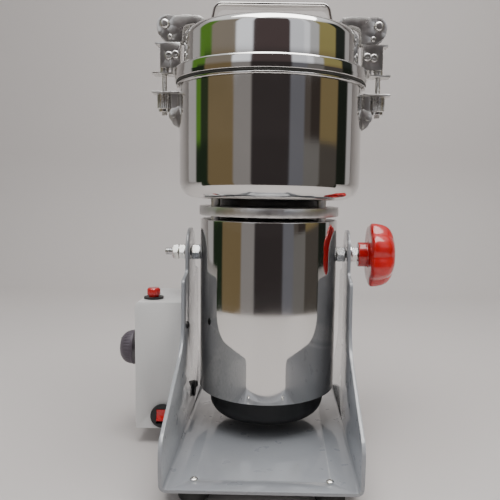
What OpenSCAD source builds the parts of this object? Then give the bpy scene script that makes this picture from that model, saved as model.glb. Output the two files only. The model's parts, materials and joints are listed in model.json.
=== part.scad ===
// Swing-type grain mill: a bowl with flat beaters on top of an upright motor,
// hung between the two cheeks of a bent sheet stand and locked by a red knob.
// Millimetres.  +Z is up, the front is -Y, and +X is the side with the knob.
// The origin is on the motor's axis, at the level that the rubber feet stand on.

/* [Stand] */
// Height of the rubber feet
foot_h = 12; // [8:1:20]
// Radius of the rubber feet
foot_r = 14; // [10:0.5:18]
// Thickness of the bent sheet
sheet_t = 3; // [2:0.5:4]
// Free width between the motor housing and each cheek
cheek_gap = 9.4; // [7:0.2:14]
// Front edge of the floor plate, ahead of the pivot axis
floor_front = 158; // [140:1:190]
// Rear edge of the floor plate, behind the pivot axis
floor_rear = 105; // [95:1:140]
// Half depth of the broad part of each cheek
cheek_half = 49; // [44:1:56]
// Radius of the tongue that carries the pivot
tongue_r = 25; // [18:1:30]
// Height from the pivot axis down to the shoulder of the cheek
shoulder_drop = 23; // [20:1:40]
// Inside radius of the bends between the floor and the cheeks
bend_r = 3; // [1:0.5:6]

/* [Pivot] */
// Diameter of the two threaded pivot studs
stud_d = 8; // [6:1:10]
// Width across the flats of the nuts on the studs
nut_af = 14.5; // [12:0.5:18]
// Thickness of the nuts on the studs
nut_t = 6.4; // [5:0.2:8]
// Radius of the lock knob's lobed head
knob_r = 33.5; // [25:0.5:40]
// Radius of the lock knob's hub
knob_hub_r = 12.8; // [9:0.2:16]
// Number of lobes on the lock knob
knob_lobes = 7; // [5:1:9]
// Length of the lock knob's hub
knob_hub_l = 10; // [6:1:16]
// Depth of the lock knob's lobed head
knob_head_l = 27; // [18:1:34]

/* [Motor] */
// Outside radius of the motor housing
housing_r = 70; // [62:1:84]
// Wall of the motor housing
housing_wall = 1.5; // [1:0.1:2.5]
// Height of the motor housing
housing_h = 172.7; // [165:0.1:220]
// Height from the pivot axis down to the bottom edge of the housing
housing_drop = 137.4; // [120:0.1:170]
// Height of the black cover below the housing
cover_h = 28.3; // [20:0.1:40]
// Radius of the black cover below the housing
cover_r = 59; // [45:1:60]
// Free height under the cover when the mill stands upright
cover_clear = 9.3; // [9:0.1:20]
// Diameter of the motor shaft
shaft_d = 12; // [10:1:14]
// Outside diameter of the two ball bearings
bearing_d = 32; // [28:1:36]
// Width of the two ball bearings
bearing_w = 10; // [8:1:12]
// Radius of the armature
armature_r = 32; // [26:1:34]
// Height of the laminated cores
core_h = 60; // [40:1:70]

/* [Bowl] */
// Outside radius of the bowl
bowl_r = 91; // [84:1:110]
// Height of the bowl from its underside to the top of its rim
bowl_h = 110.9; // [80:0.1:130]
// Wall of the bowl and of the lid
bowl_wall = 1.5; // [1:0.1:2.5]
// Radius of the rounded bottom edge of the bowl
bowl_corner_r = 17; // [10:1:22]
// Thickness of the aluminium flange below the bowl
flange_t = 9; // [6:0.5:12]
// Gap between the housing and the flange
flange_gap = 4; // [3:0.5:8]
// Height of the black neck between the flange and the bowl
neck_h = 7.5; // [5:0.5:16]
// Radius of the black neck
neck_r = 50; // [40:1:52]
// Thickness of each beater blade
blade_t = 3; // [2:0.5:4]
// Clearance between the blade tips and the bowl wall
blade_clear = 8; // [5:0.5:14]

/* [Lid] */
// Height of the lid above its ring
lid_h = 37; // [28:0.5:50]
// Height of the lid's ring
lid_ring_h = 13; // [10:0.5:18]
// How far the lid's ring stands out from the bowl
lid_ring_out = 4.7; // [3:0.1:8]
// Radius of the lid's shoulder
lid_shoulder_r = 10; // [6:0.5:16]
// Depth of the skirt that locates the lid in the bowl
lid_skirt_h = 7; // [4:0.5:8]
// Height of the handle above the lid
handle_h = 28.5; // [24:0.5:40]
// Distance between the handle's feet
handle_span = 124; // [90:1:126]
// Width of the handle's strap
handle_w = 20; // [14:1:26]
// Thickness of the handle's strap
handle_t = 2.5; // [2:0.1:4]

/* [Clamps] */
// Width of each clamp along Y
clamp_w = 16; // [12:1:22]
// Sheet thickness of the clamps
clamp_t = 2; // [1.5:0.1:3]
// Diameter of the clamp's hinge pin
clamp_pin_d = 5; // [4:0.5:6]
// Diameter of the knurled nut
knurl_d = 15; // [12:0.5:16]
// Height of the knurled nut
knurl_h = 18; // [12:0.5:19]
// Diameter of the clamp's threaded rod
rod_d = 5; // [4:0.5:6]

/* [Control box] */
// Width of the box, out from the cheek
box_w = 47; // [40:1:60]
// Height of the box
box_h = 128; // [110:1:140]
// Depth of the box along Y
box_d = 80; // [70:1:90]
// Wall of the box
box_wall = 1.5; // [1:0.1:2.5]
// Radius of the box's outer edges
box_edge_r = 5; // [3:0.5:8]
// Radius of the timer dial
dial_r = 17.6; // [12:0.2:20]
// Radius of the round rocker switch
switch_r = 12; // [9:0.5:13]
// Radius of the reset button
button_r = 6.5; // [4:0.5:7]
// Travel of the reset button
button_travel = 1.5; // [1:0.5:4]

/* [Hidden] */
$fn = 96;
// Running clearance round pins, studs and the shaft
run = 0.3;
// Clearance between parts that lie on each other
seat = 0.1;
// Steps along each rounded corner
corner_steps = 8;

// Levels, from the feet up
floor_z = foot_h;
floor_top = floor_z + sheet_t;
pivot_h = housing_drop + cover_h + cover_clear + sheet_t;
pivot_z = floor_z + pivot_h;
housing_z = pivot_z - housing_drop;
housing_top = housing_z + housing_h;
flange_z = housing_top + flange_gap;
flange_top = flange_z + flange_t;
bowl_z = flange_top + neck_h;
bowl_top = bowl_z + bowl_h;
gasket_t = 1.8;
ring_z = bowl_top + gasket_t + 2 * seat;
ring_top = ring_z + lid_ring_h;
lid_top = ring_top + lid_h;

// Stand
housing_in = housing_r - housing_wall;
cheek_in = housing_r + cheek_gap;
cheek_out = cheek_in + sheet_t;
nose_r = 18;
nose_out = 3;
foot_x = 56.5;
foot_front_y = -floor_front + 17;
foot_rear_y = floor_rear - 20;
foot_screw_r = 2;
foot_head_r = 3.4;
foot_head_h = 2.2;
grommet_r = 6;
grommet_y = 14;
grommet_z = floor_top + 24;

// Pivot hardware
bush_r = stud_d / 2 + 2.4;
bush_flange_r = 9.5;
bush_flange_t = 1.2;
washer_r = 9.5;
washer_t = 1.8;
washer_x = cheek_out + bush_flange_t + 2 * seat;
nut_x = washer_x + washer_t + seat;
hub_x = nut_x + nut_t + seat;
head_x = hub_x + knob_hub_l;
stud_in_x = housing_in - nut_t - 2.4;
stud_left_x = nut_x + 2 * nut_t + seat + 8;
stud_right_x = head_x + knob_head_l * 0.6;

// Motor
cover_wall = 2.4;
cover_edge_r = 16;
cover_lip_h = 9;
core_r = housing_in - 0.25;
core_z = housing_z + 57;
yoke_in = 52;
air_gap = 0.8;
pole_neck_w = 28;
pole_shoe_t = 5;
end_turn_h = 8;
bracket_z = housing_z + cover_lip_h + 0.7;
bracket_t = 5;
hub_wall = 4;
lower_bearing_z = bracket_z + 2;
upper_bearing_z = flange_z - bearing_w - 5;
commutator_r = 16;
commutator_z = lower_bearing_z + bearing_w + 6;
commutator_h = 20;
fan_z = core_z + core_h + 18;
fan_h = 15;
fan_r = stud_in_x - 4;
fan_blades = 12;
post_r = 4.5;
post_x = 51;
post_ring_r = housing_in - post_r - 0.4;
post_angle = acos(post_x / post_ring_r);
top_ring_t = 2.2;

// Bowl
bowl_in = bowl_r - bowl_wall;
bowl_floor_t = 3;
rim_out = 3;
rim_t = 2.7;
seal_r = 14;
seal_top = bowl_z + bowl_floor_t + 5;
blade_tip_r = bowl_in - blade_clear;
blade_w = 24;
blade_pitch = 11;
blade_z = seal_top + 4;
blade_count = 3;
blade_top = blade_z + (blade_count - 1) * blade_pitch + blade_t;
blade_nut_h = 14;
shaft_shoulder_d = shaft_d - 2;

// Lid
lid_r = bowl_r - 4.3;
ring_r = bowl_r + lid_ring_out;
skirt_r = bowl_in - 0.5;
handle_lean = 5.5;
handle_corner_r = 9;
handle_foot_l = 14;
rivet_r = 2.2;

// Clamps, given for the +X side and mirrored
pin_x = ring_r + 0.8;
pin_z = bowl_top - rim_t - 26.8;
ledge_z = pin_z + 22;
ledge_x = bowl_r + 0.9;
rod_x = ring_r + 11.5;
thread_z = ledge_z - knurl_h - 3;
box_in_x = ring_r - 5.4;
box_out_x = ring_r + 18.3;
box_bottom = ring_top - 4;
box_top = ring_top + 27;
arm_bolt_x = ring_r + 9.6;
arm_bolt_z = lid_top + 7.3;
arm_end_r = 9.8;
arm_top_z = lid_top + 16.5;
arm_tip_x = handle_span / 2 + 2.4;
pad_h = 3;
arm_pin_x = box_in_x + 10;
arm_pin_z = box_top + 5.2;
pad_w = 7;

// Control box
box_x = cheek_out + seat;
box_x_out = box_x + box_w;
box_z = floor_z + 4;
box_top_z = box_z + box_h;
dial_y = 0;
dial_z = box_z + 72;
dial_gap = 9;
dial_h = 15.5;
dial_skirt = 0.6;
dial_shaft_r = 3;
timer_bush_r = 4.6;
timer_d = 36;
switch_x = -(cheek_out + 20);
switch_z = box_z + 13.2;
rocker_w = 11.6;
rocker_tilt = 10;
button_x = -(cheek_out + 32.5);
button_y = -20;
button_out = 10;
overload_h = 26;
inlet_w = 28;
inlet_h = 20;
inlet_z = box_z + 40;
inlet_x = -(box_x + box_w / 2);

// ---------- outlines ----------

function unit(v) = v / norm(v);

// The points of one rounded corner p[1], between its neighbours p[0] and p[2].
function corner(p0, p1, p2) =
  let(a = [p1[0], p1[1]], r = p1[2],
      u = unit([p0[0], p0[1]] - a), w = unit([p2[0], p2[1]] - a),
      half = acos(max(-1, min(1, u * w))) / 2,
      c = a + unit(u + w) * r / sin(half),
      t0 = a + u * r / tan(half) - c, t1 = a + w * r / tan(half) - c,
      a0 = atan2(t0[1], t0[0]), turn = atan2(t1[1], t1[0]) - a0,
      sweep = turn > 180 ? turn - 360 : turn < -180 ? turn + 360 : turn)
  [for (i = [0:corner_steps]) c + r * [cos(a0 + sweep * i / corner_steps), sin(a0 + sweep * i / corner_steps)]];

// An outline from corners given as [x, y, radius].
function rounded(pts) =
  let(n = len(pts))
  [for (i = [0:n - 1]) each (pts[i][2] > 0
    ? corner(pts[(i + n - 1) % n], pts[i], pts[(i + 1) % n])
    : [[pts[i][0], pts[i][1]]])];

// A plate in the YZ plane, w thick, from x on.
module across_x(x, w) {
  translate([x, 0, 0])
    rotate([90, 0, 90])
      linear_extrude(w) children();
}

// A plate in the XZ plane, w thick, centred on y.
module across_y(y, w) {
  translate([0, y + w / 2, 0])
    rotate([90, 0, 0])
      linear_extrude(w) children();
}

module rod_x(r, x0, x1, y = 0, z = 0) {
  translate([x0, y, z]) rotate([0, 90, 0]) cylinder(r = r, h = x1 - x0);
}

module rod_y(r, y0, y1, x = 0, z = 0) {
  translate([x, y0, z]) rotate([-90, 0, 0]) cylinder(r = r, h = y1 - y0);
}

module rod_z(r, z0, z1, x = 0, y = 0) {
  translate([x, y, z0]) cylinder(r = r, h = z1 - z0);
}

module hex_x(af, x0, x1, z) {
  translate([x0, 0, z]) rotate([0, 90, 0]) cylinder(d = af / cos(30), h = x1 - x0, $fn = 6);
}

module both_sides() {
  children();
  mirror([1, 0, 0]) children();
}

// ---------- stand ----------

// Side view of a cheek: x is Y and y is the height above the stand's underside.
module cheek_outline() {
  shoulder = pivot_h - shoulder_drop;
  front = -floor_front - nose_out;
  slope_h = 42;
  polygon(rounded([
    [-floor_front, 0, 0], [front, nose_r, 12], [front, slope_h, nose_r],
    [-cheek_half - 1, slope_h + 51, 40], [-cheek_half, shoulder, 5],
    [-tongue_r, shoulder + 5, 6], [-tongue_r, pivot_h + tongue_r, tongue_r - 0.1],
    [tongue_r, pivot_h + tongue_r, tongue_r - 0.1], [tongue_r, shoulder + 5, 6],
    [cheek_half, shoulder, 5], [cheek_half + 3, slope_h + 40, 30],
    [floor_rear - 2, slope_h - 16, 12], [floor_rear, 0, 0]
  ]));
}

// Front view of the bent sheet, with rounded bends at the floor.
module channel_outline() {
  h = pivot_h + tongue_r + 1;
  outer_r = bend_r + sheet_t;
  difference() {
    polygon(rounded([
      [-cheek_out, 0, outer_r], [cheek_out, 0, outer_r], [cheek_out, h, 0], [-cheek_out, h, 0]
    ]));
    polygon(rounded([
      [-cheek_in, sheet_t, bend_r], [cheek_in, sheet_t, bend_r], [cheek_in, h + 1, 0], [-cheek_in, h + 1, 0]
    ]));
  }
}

module foot_places() {
  for (x = [-foot_x, foot_x], y = [foot_front_y, foot_rear_y])
    translate([x, y, 0]) children();
}

module box_screw_places() {
  for (p = [[-box_d / 2 + 8, box_z + box_h - 24], [box_d / 2 - 8, box_z + 22]])
    translate([0, p[0], p[1]]) children();
}

module base_frame() {
  color("slategray") difference() {
    intersection() {
      translate([0, 0, floor_z])
        across_y((floor_rear - floor_front) / 2, floor_front + floor_rear + 4 * nose_out) channel_outline();
      translate([0, 0, floor_z])
        across_x(-cheek_out - 1, 2 * cheek_out + 2) cheek_outline();
    }
    rod_x(bush_r + seat, -cheek_out - 1, cheek_out + 1, z = pivot_z);
    foot_places() cylinder(r = foot_screw_r + seat, h = floor_top + 1);
    box_screw_places() rod_x(1.6 + seat, -cheek_out - 1, -cheek_in + 1);
    rod_x(grommet_r + seat, -cheek_out - 1, -cheek_in + 1, grommet_y, grommet_z);
  }
}

module rubber_feet() {
  color("black") foot_places() difference() {
    rotate_extrude() polygon(rounded([
      [0, 0, 0], [foot_r - 2, 0, 1.2], [foot_r, foot_h - seat, 0], [0, foot_h - seat, 0]
    ]));
    translate([0, 0, foot_h - 8]) cylinder(r = foot_screw_r + seat, h = 9);
  }
}

module foot_screws() {
  color("gainsboro") foot_places() {
    rod_z(foot_screw_r, foot_h - 7, floor_top + seat + 0.5);
    translate([0, 0, floor_top + seat])
      rotate_extrude() polygon(rounded([
        [0, 0, 0], [foot_head_r, 0, 0], [foot_head_r, foot_head_h, 1.6], [0, foot_head_h, 0]
      ]));
  }
}

module pivot_bushes() {
  color("dimgray") both_sides() difference() {
    union() {
      rod_x(bush_r, cheek_in, cheek_out + 0.5, z = pivot_z);
      rod_x(bush_flange_r, cheek_out + seat, cheek_out + seat + bush_flange_t, z = pivot_z);
    }
    rod_x(stud_d / 2 + run, cheek_in - 1, cheek_out + 4, z = pivot_z);
  }
}

// ---------- control box ----------

// Front view of the box on the -X side, open towards the cheek.
module box_outline(inset) {
  polygon(rounded([
    [-box_x + 1, box_z, 0], [-box_x + 1, box_top_z - inset, 0],
    [-box_x_out + inset, box_top_z - inset, box_edge_r - inset],
    [-box_x_out + inset, box_z, 0]
  ]));
}

module control_box() {
  color("whitesmoke") difference() {
    union() {
      difference() {
        across_y(0, box_d) box_outline(0);
        across_y(0, box_d - 2 * box_wall) box_outline(box_wall);
        translate([-box_x, -box_d, 0]) cube([box_d, 2 * box_d, 2 * box_top_z]);
      }
      // threaded blocks that take the screws through the cheek
      translate([-box_x - 10, -box_d / 2 + box_wall / 2, box_z + box_h - 30]) cube([10, 13, 12]);
      translate([-box_x - 10, box_d / 2 - box_wall / 2 - 13, box_z + 16]) cube([10, 13, 12]);
    }
    box_screw_places() rod_x(1.6 + seat, -box_x - 9, -box_x + 1);
    rod_x(5, -box_x_out - 1, -box_x_out + 3, dial_y, dial_z);
    rod_y(switch_r - 1 + seat, -box_d / 2 - 1, -box_d / 2 + 3, switch_x, switch_z);
    rod_z(button_r + 0.6, box_top_z - 3, box_top_z + 1, button_x, button_y);
    translate([inlet_x - inlet_w / 2 - seat, box_d / 2 - 3, inlet_z - inlet_h / 2 - seat])
      cube([inlet_w + 2 * seat, 4, inlet_h + 2 * seat]);
    inlet_screw_places() rod_y(1.5 + seat, box_d / 2 - 3, box_d / 2 + 1);
  }
}

module control_box_base() {
  inner = box_d / 2 - box_wall - seat;
  color("whitesmoke") union() {
    translate([-box_x_out + box_wall + seat, -inner, box_z])
      cube([box_w - box_wall - 2 * seat, 2 * inner, box_wall]);
    // upturned tab along the outer wall
    translate([-box_x_out + box_wall + seat, -inner + 14, box_z])
      cube([box_wall, 2 * inner - 28, 9]);
  }
}

module box_screws() {
  color("black") box_screw_places() {
    rod_x(1.6, -box_x - 8, -cheek_in + seat + 0.5);
    rod_x(3.6, -cheek_in + seat, -cheek_in + seat + 2.2);
  }
}

module cable_grommet() {
  color("black") translate([0, grommet_y, grommet_z]) rotate([0, 90, 0])
    translate([0, 0, -cheek_out]) rotate_extrude() polygon([
      [3, -1.2], [3, sheet_t + 1.6], [grommet_r + 2, sheet_t + 1.6], [grommet_r + 2, sheet_t + seat],
      [grommet_r, sheet_t + seat], [grommet_r, -1.2]
    ]);
}

module timer_body() {
  inner = -box_x_out + box_wall;
  color("dimgray") translate([0, dial_y, dial_z]) {
    translate([inner + seat, -timer_d / 2, -timer_d / 2]) cube([22, timer_d, timer_d]);
    rod_x(timer_bush_r, -box_x_out - 4.5, inner + 1);
    rod_x(timer_bush_r + 2.4, -box_x_out - 3, -box_x_out - seat);
    rod_x(dial_shaft_r, -box_x_out - dial_gap - 6, inner + 1);
  }
}

module timer_dial() {
  face = -box_x_out - dial_gap;
  color("dimgray") translate([face, dial_y, dial_z]) rotate([0, -90, 0]) difference() {
    union() {
      rotate_extrude() polygon(rounded([
        [0, 0, 0], [dial_r + dial_skirt, 0, 0], [dial_r + dial_skirt, 2, 0.4], [dial_r, 2.4, 0],
        [dial_r - 1, dial_h, 12], [0, dial_h, 0]
      ]));
      translate([-1.5, 0, dial_h - 4]) cube([3, dial_r - 12, 4.6]);
    }
    translate([0, 0, -1]) cylinder(r = dial_shaft_r + run, h = 8);
  }
}

module switch_body() {
  front = -box_d / 2;
  color("black") translate([switch_x, front, switch_z]) difference() {
    union() {
      rod_y(switch_r, -2.4, -seat);
      rod_y(switch_r - 1, -seat - 0.2, 18);
    }
    translate([-rocker_w / 2 - 0.5, -3, -7.6]) cube([rocker_w + 1, 12, 15.2]);
  }
}

// The rocker turns about a pin along X, a little behind the front of the box.
module switch_rocker() {
  color("red") translate([switch_x, -box_d / 2 + 3.4, switch_z]) rotate([-rocker_tilt, 0, 0]) union() {
    across_x(-rocker_w / 2, rocker_w) polygon(rounded([
      [-6.8, 6.3, 0.8], [-5.4, 0, 6], [-6.8, -6.3, 0.8], [1.2, -3.2, 1], [1.2, 3.2, 1]
    ]));
    rod_x(0.9, -rocker_w / 2 - 0.5, rocker_w / 2 + 0.5);
  }
}

module overload_body() {
  color("black") translate([button_x, button_y, box_top_z]) difference() {
    union() {
      rod_z(button_r + 3.4, seat, 2);
      rod_z(button_r + 0.5, -box_wall - 1, 0.5);
      translate([-9, -13, -overload_h]) cube([18, 26, overload_h - box_wall - seat]);
    }
    rod_z(button_r - 1.6 + run, -14, 3);
  }
}

// The cap has flutes round it and rides on a stem inside the overload body.
module reset_button() {
  cap_h = button_out - button_travel - 1.5;
  color("red") translate([button_x, button_y, box_top_z]) union() {
    difference() {
      translate([0, 0, 2 + button_travel + 0.4]) rotate_extrude() polygon([
        [0, 0], [button_r, 0], [button_r, cap_h - 1.4], [button_r - 1.2, cap_h], [0, cap_h]
      ]);
      for (a = [0:30:330]) rotate([0, 0, a])
        translate([button_r + 0.45, 0, 0]) cylinder(r = 1, h = 2 * button_out);
    }
    rod_z(button_r - 1.6, -7, 3 + button_travel);
  }
}

module inlet_screw_places() {
  for (x = [-1, 1])
    translate([inlet_x + x * (inlet_w / 2 + 4.4), 0, inlet_z]) children();
}

module mains_inlet() {
  back = box_d / 2;
  color("black") difference() {
    union() {
      translate([inlet_x, 0, inlet_z]) across_y(back + 1.4, 2.4) polygon(rounded([
        [-inlet_w / 2 - 9, 0, 3], [-inlet_w / 2 - 2, -inlet_h / 2 - 1.6, 4], [inlet_w / 2 + 2, -inlet_h / 2 - 1.6, 4],
        [inlet_w / 2 + 9, 0, 3], [inlet_w / 2 + 2, inlet_h / 2 + 1.6, 4], [-inlet_w / 2 - 2, inlet_h / 2 + 1.6, 4]
      ]));
      translate([inlet_x - inlet_w / 2, back - 18, inlet_z - inlet_h / 2]) cube([inlet_w, 19, inlet_h]);
    }
    translate([inlet_x - inlet_w / 2 + 2, back - 14, inlet_z - inlet_h / 2 + 2]) cube([inlet_w - 4, 20, inlet_h - 4]);
    inlet_screw_places() rod_y(1.5 + seat, back - 3, back + 4);
  }
  color("gold") for (p = [[-7, -2.5], [0, 2.5], [7, -2.5]])
    translate([inlet_x + p[0] - 1, back - 14.5, inlet_z + p[1] - 2]) cube([2, 12, 4]);
}

module inlet_screws() {
  color("silver") inlet_screw_places() {
    rod_y(1.5, box_d / 2 - 4, box_d / 2 + 3);
    rod_y(2.8, box_d / 2 + 2.6 + seat, box_d / 2 + 4.4);
  }
}

module terminal_block() {
  color("whitesmoke") difference() {
    translate([-box_x_out + box_wall + 10, -15, box_z + box_wall + seat]) cube([20, 30, 14]);
    for (y = [-10:10:10])
      rod_z(2.4, box_z + box_wall + 6, box_z + box_wall + 20, -box_x_out + box_wall + 20, y);
  }
}

// ---------- motor ----------

module motor_housing() {
  color("silver") difference() {
    translate([0, 0, housing_z]) rotate_extrude() difference() {
      square([housing_r, housing_h]);
      translate([0, -1]) square([housing_in, housing_h + 2]);
    }
    rod_x(stud_d / 2 + seat, -housing_r - 1, housing_r + 1, z = pivot_z);
  }
}

module cover_screw_places() {
  for (a = [45:90:315]) rotate([0, 0, a]) translate([40, 0, 0]) children();
}

module bottom_cover() {
  bottom = housing_z - cover_h;
  color("dimgray") difference() {
    rotate_extrude() polygon(rounded([
      [0, bottom, 0], [cover_r, bottom, cover_edge_r], [cover_r, housing_z - 2, 0],
      [core_r, housing_z + 1, 0], [core_r, housing_z + cover_lip_h, 0],
      [core_r - cover_wall, housing_z + cover_lip_h, 0], [core_r - cover_wall, housing_z + 3, 0],
      [cover_r - cover_wall, housing_z, 0], [cover_r - cover_wall, bottom + cover_wall, cover_edge_r - cover_wall],
      [0, bottom + cover_wall, 0]
    ]));
    // air slots in the floor of the cover
    for (a = [0:20:340]) rotate([0, 0, a])
      translate([18, -1.5, bottom - 1]) cube([16, 3, cover_wall + 2]);
    cover_screw_places() rod_z(2 + seat, bottom - 1, bottom + cover_wall + 1);
  }
}

module cover_screws() {
  bottom = housing_z - cover_h;
  color("silver") cover_screw_places() {
    rod_z(2, bottom - 1, bracket_z + 4);
    translate([0, 0, bottom - seat]) mirror([0, 0, 1]) rotate_extrude() polygon(rounded([
      [0, 0, 0], [3.8, 0, 0], [3.8, 2.2, 1.2], [0, 2.2, 0]
    ]));
  }
}

module brush_places() {
  for (a = [0, 180]) rotate([0, 0, a]) translate([0, 0, commutator_z]) children();
}

module lower_bracket() {
  hub_r = bearing_d / 2 + hub_wall;
  color("gray") difference() {
    union() {
      translate([0, 0, bracket_z]) difference() {
        cylinder(r = core_r, h = bracket_t);
        for (a = [45:90:315]) rotate([0, 0, a]) translate([0, 0, -1]) linear_extrude(bracket_t + 2)
          polygon(rounded([[52, -18, 4], [60, -14, 4], [60, 14, 4], [52, 18, 4]]));
      }
      rod_z(hub_r, bracket_z, lower_bearing_z + bearing_w + 0.4);
      // pillars under the brush holders
      for (a = [0, 180]) rotate([0, 0, a])
        translate([28, -6, bracket_z + 1]) cube([10, 12, commutator_z - bracket_z - 1 - seat]);
    }
    rod_z(bearing_d / 2 + seat, lower_bearing_z, lower_bearing_z + bearing_w + 2);
    rod_z(shaft_d / 2 + 2, bracket_z - 1, lower_bearing_z + 1);
    cover_screw_places() rod_z(2 + seat, bracket_z - 1, bracket_z + bracket_t + 1);
  }
}

module brush_holders() {
  color("goldenrod") brush_places()
    translate([commutator_r + 3, -6, 0]) cube([24, 12, commutator_h - 4]);
  color("black") brush_places()
    translate([commutator_r + run, -4, 4]) cube([3.2 - run, 8, commutator_h - 12]);
}

module stator_core() {
  bore = armature_r + air_gap;
  color("slategray") translate([0, 0, core_z]) linear_extrude(core_h) difference() {
    union() {
      difference() {
        circle(r = core_r);
        circle(r = yoke_in);
      }
      intersection() {
        circle(r = yoke_in + 1);
        square([pole_neck_w, 2 * core_r], center = true);
      }
      intersection() {
        circle(r = bore + pole_shoe_t);
        square([2 * bore * 0.82, 4 * bore], center = true);
      }
    }
    circle(r = bore);
    // flats that let the cooling air past the core
    for (a = [45:90:315]) rotate(a) translate([core_r + 12, 0]) square([30, 40], center = true);
  }
}

module field_coils() {
  shoe_r = armature_r + air_gap + pole_shoe_t;
  depth = 6.6;
  width = 48;
  color("orangered") for (side = [0, 180]) rotate([0, 0, side])
    translate([0, shoe_r + 0.6 + depth / 2, core_z + core_h / 2]) rotate([90, 0, 0])
      translate([0, 0, -depth / 2]) linear_extrude(depth) difference() {
        polygon(rounded([
          [-width / 2, -core_h / 2 - end_turn_h, 6], [width / 2, -core_h / 2 - end_turn_h, 6],
          [width / 2, core_h / 2 + end_turn_h, 6], [-width / 2, core_h / 2 + end_turn_h, 6]
        ]));
        square([pole_neck_w + 2 * run, core_h + 2 * run], center = true);
      }
}

module ball_bearing(z) {
  translate([0, 0, z]) difference() {
    cylinder(r = bearing_d / 2, h = bearing_w);
    translate([0, 0, -1]) cylinder(r = shaft_d / 2 + seat, h = bearing_w + 2);
  }
}

module ball_bearings() {
  color("silver") {
    ball_bearing(lower_bearing_z + seat);
    ball_bearing(upper_bearing_z);
  }
}

module post_places() {
  for (a = [post_angle, 180 - post_angle, 180 + post_angle, -post_angle])
    rotate([0, 0, a]) translate([post_ring_r, 0, 0]) children();
}

module housing_ring() {
  color("gray") difference() {
    union() {
      rod_z(core_r, housing_top - top_ring_t, housing_top);
      translate([0, 0, housing_top - 8]) difference() {
        cylinder(r = core_r, h = 8);
        translate([0, 0, -1]) cylinder(r = core_r - 2, h = 10);
      }
    }
    rod_z(52, housing_top - 9, housing_top + 1);
    post_places() {
      rod_z(2.5 + seat, housing_top - 9, housing_top + 1);
      rod_z(5.4, housing_top - 9, housing_top - top_ring_t);
    }
  }
}

module mounting_flange() {
  hub_r = bearing_d / 2 + hub_wall;
  color("silver") difference() {
    union() {
      rod_z(housing_r + 1, flange_z, flange_top);
      rod_z(hub_r, upper_bearing_z - 1, flange_z + 1);
      for (a = [0:60:300]) rotate([0, 0, a])
        translate([hub_r - 1, -2, flange_z - 3.4]) cube([neck_r - hub_r - 6, 4, 4]);
    }
    rod_z(neck_r + 4, flange_top - 3, flange_top + 1);
    rod_z(bearing_d / 2 + seat, upper_bearing_z - 2, upper_bearing_z + bearing_w + seat);
    rod_z(shaft_d / 2 + 2, upper_bearing_z, flange_top + 1);
    post_places() rod_z(2.5 + seat, flange_z - 1, flange_top + 1);
  }
}

module support_posts() {
  color("silver") post_places() difference() {
    union() {
      rod_z(post_r, housing_top, flange_z);
      rod_z(post_r, flange_top, bowl_z);
    }
    rod_z(2.5 + seat, housing_top - 1, bowl_z + 1);
  }
}

module post_bolts() {
  color("gray") post_places() {
    rod_z(2.5, housing_top - top_ring_t - 1, bowl_z - seat);
    translate([0, 0, housing_top - top_ring_t - seat - 4]) cylinder(d = 8 / cos(30), h = 4, $fn = 6);
  }
}

module neck_sleeve() {
  color("black") difference() {
    union() {
      rod_z(neck_r, flange_top - 3 + seat, bowl_z - seat);
      rod_z(neck_r + 3, flange_top - 3 + seat, flange_top + 1);
    }
    rod_z(seal_r + 1, flange_top - 4, bowl_z + 1);
  }
}

// ---------- pivot hardware on the motor ----------

module pivot_studs() {
  color("gainsboro") {
    rod_x(stud_d / 2, stud_in_x, stud_right_x, z = pivot_z);
    rod_x(stud_d / 2, -stud_left_x, -stud_in_x, z = pivot_z);
  }
}

module bored_hex(x0, x1) {
  difference() {
    hex_x(nut_af, x0, x1, pivot_z);
    rod_x(stud_d / 2 + seat, x0 - 1, x1 + 1, z = pivot_z);
  }
}

module pivot_nuts() {
  inner_x = sqrt(pow(housing_in, 2) - pow(nut_af / 2 / cos(30), 2)) - seat;
  color("gainsboro") {
    both_sides() {
      bored_hex(inner_x - nut_t, inner_x);
      bored_hex(housing_r + seat, cheek_in - run);
    }
    bored_hex(nut_x, nut_x + nut_t);
    bored_hex(-nut_x - nut_t, -nut_x);
    bored_hex(-nut_x - 2 * nut_t - seat, -nut_x - nut_t - seat);
  }
}

module pivot_washers() {
  color("gainsboro") both_sides() difference() {
    rod_x(washer_r, washer_x, washer_x + washer_t, z = pivot_z);
    rod_x(stud_d / 2 + seat, washer_x - 1, washer_x + washer_t + 1, z = pivot_z);
  }
}

module lobed_outline() {
  lobe_r = knob_r * 0.3;
  union() {
    circle(r = knob_r * 0.86);
    for (i = [0:knob_lobes - 1]) rotate(i * 360 / knob_lobes)
      translate([knob_r - lobe_r, 0]) circle(r = lobe_r);
  }
}

module lock_knob() {
  color("red") translate([hub_x, 0, pivot_z]) rotate([0, 90, 0]) difference() {
    union() {
      rotate_extrude() polygon(rounded([
        [0, 0, 0], [knob_hub_r, 0, 1.5], [knob_hub_r, knob_hub_l + 5, 0], [0, knob_hub_l + 5, 0]
      ]));
      intersection() {
        translate([0, 0, knob_hub_l]) linear_extrude(knob_head_l) lobed_outline();
        translate([0, 0, knob_hub_l]) rotate_extrude() polygon([
          [0, 0], [knob_hub_r + 3, 0], [knob_r + 0.6, 4.5], [knob_r - 1, knob_head_l * 0.55],
          [knob_r * 0.82, knob_head_l * 0.85], [knob_r * 0.55, knob_head_l], [0, knob_head_l]
        ]);
      }
    }
    translate([0, 0, -1]) cylinder(r = stud_d / 2 + 2.6 + seat, h = stud_right_x - hub_x + 2);
  }
}

module knob_insert() {
  color("gold") difference() {
    rod_x(stud_d / 2 + 2.6, hub_x + 0.5, stud_right_x + 0.8, z = pivot_z);
    rod_x(stud_d / 2 + seat, hub_x, stud_right_x + 0.2, z = pivot_z);
  }
}

// ---------- bowl ----------

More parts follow.
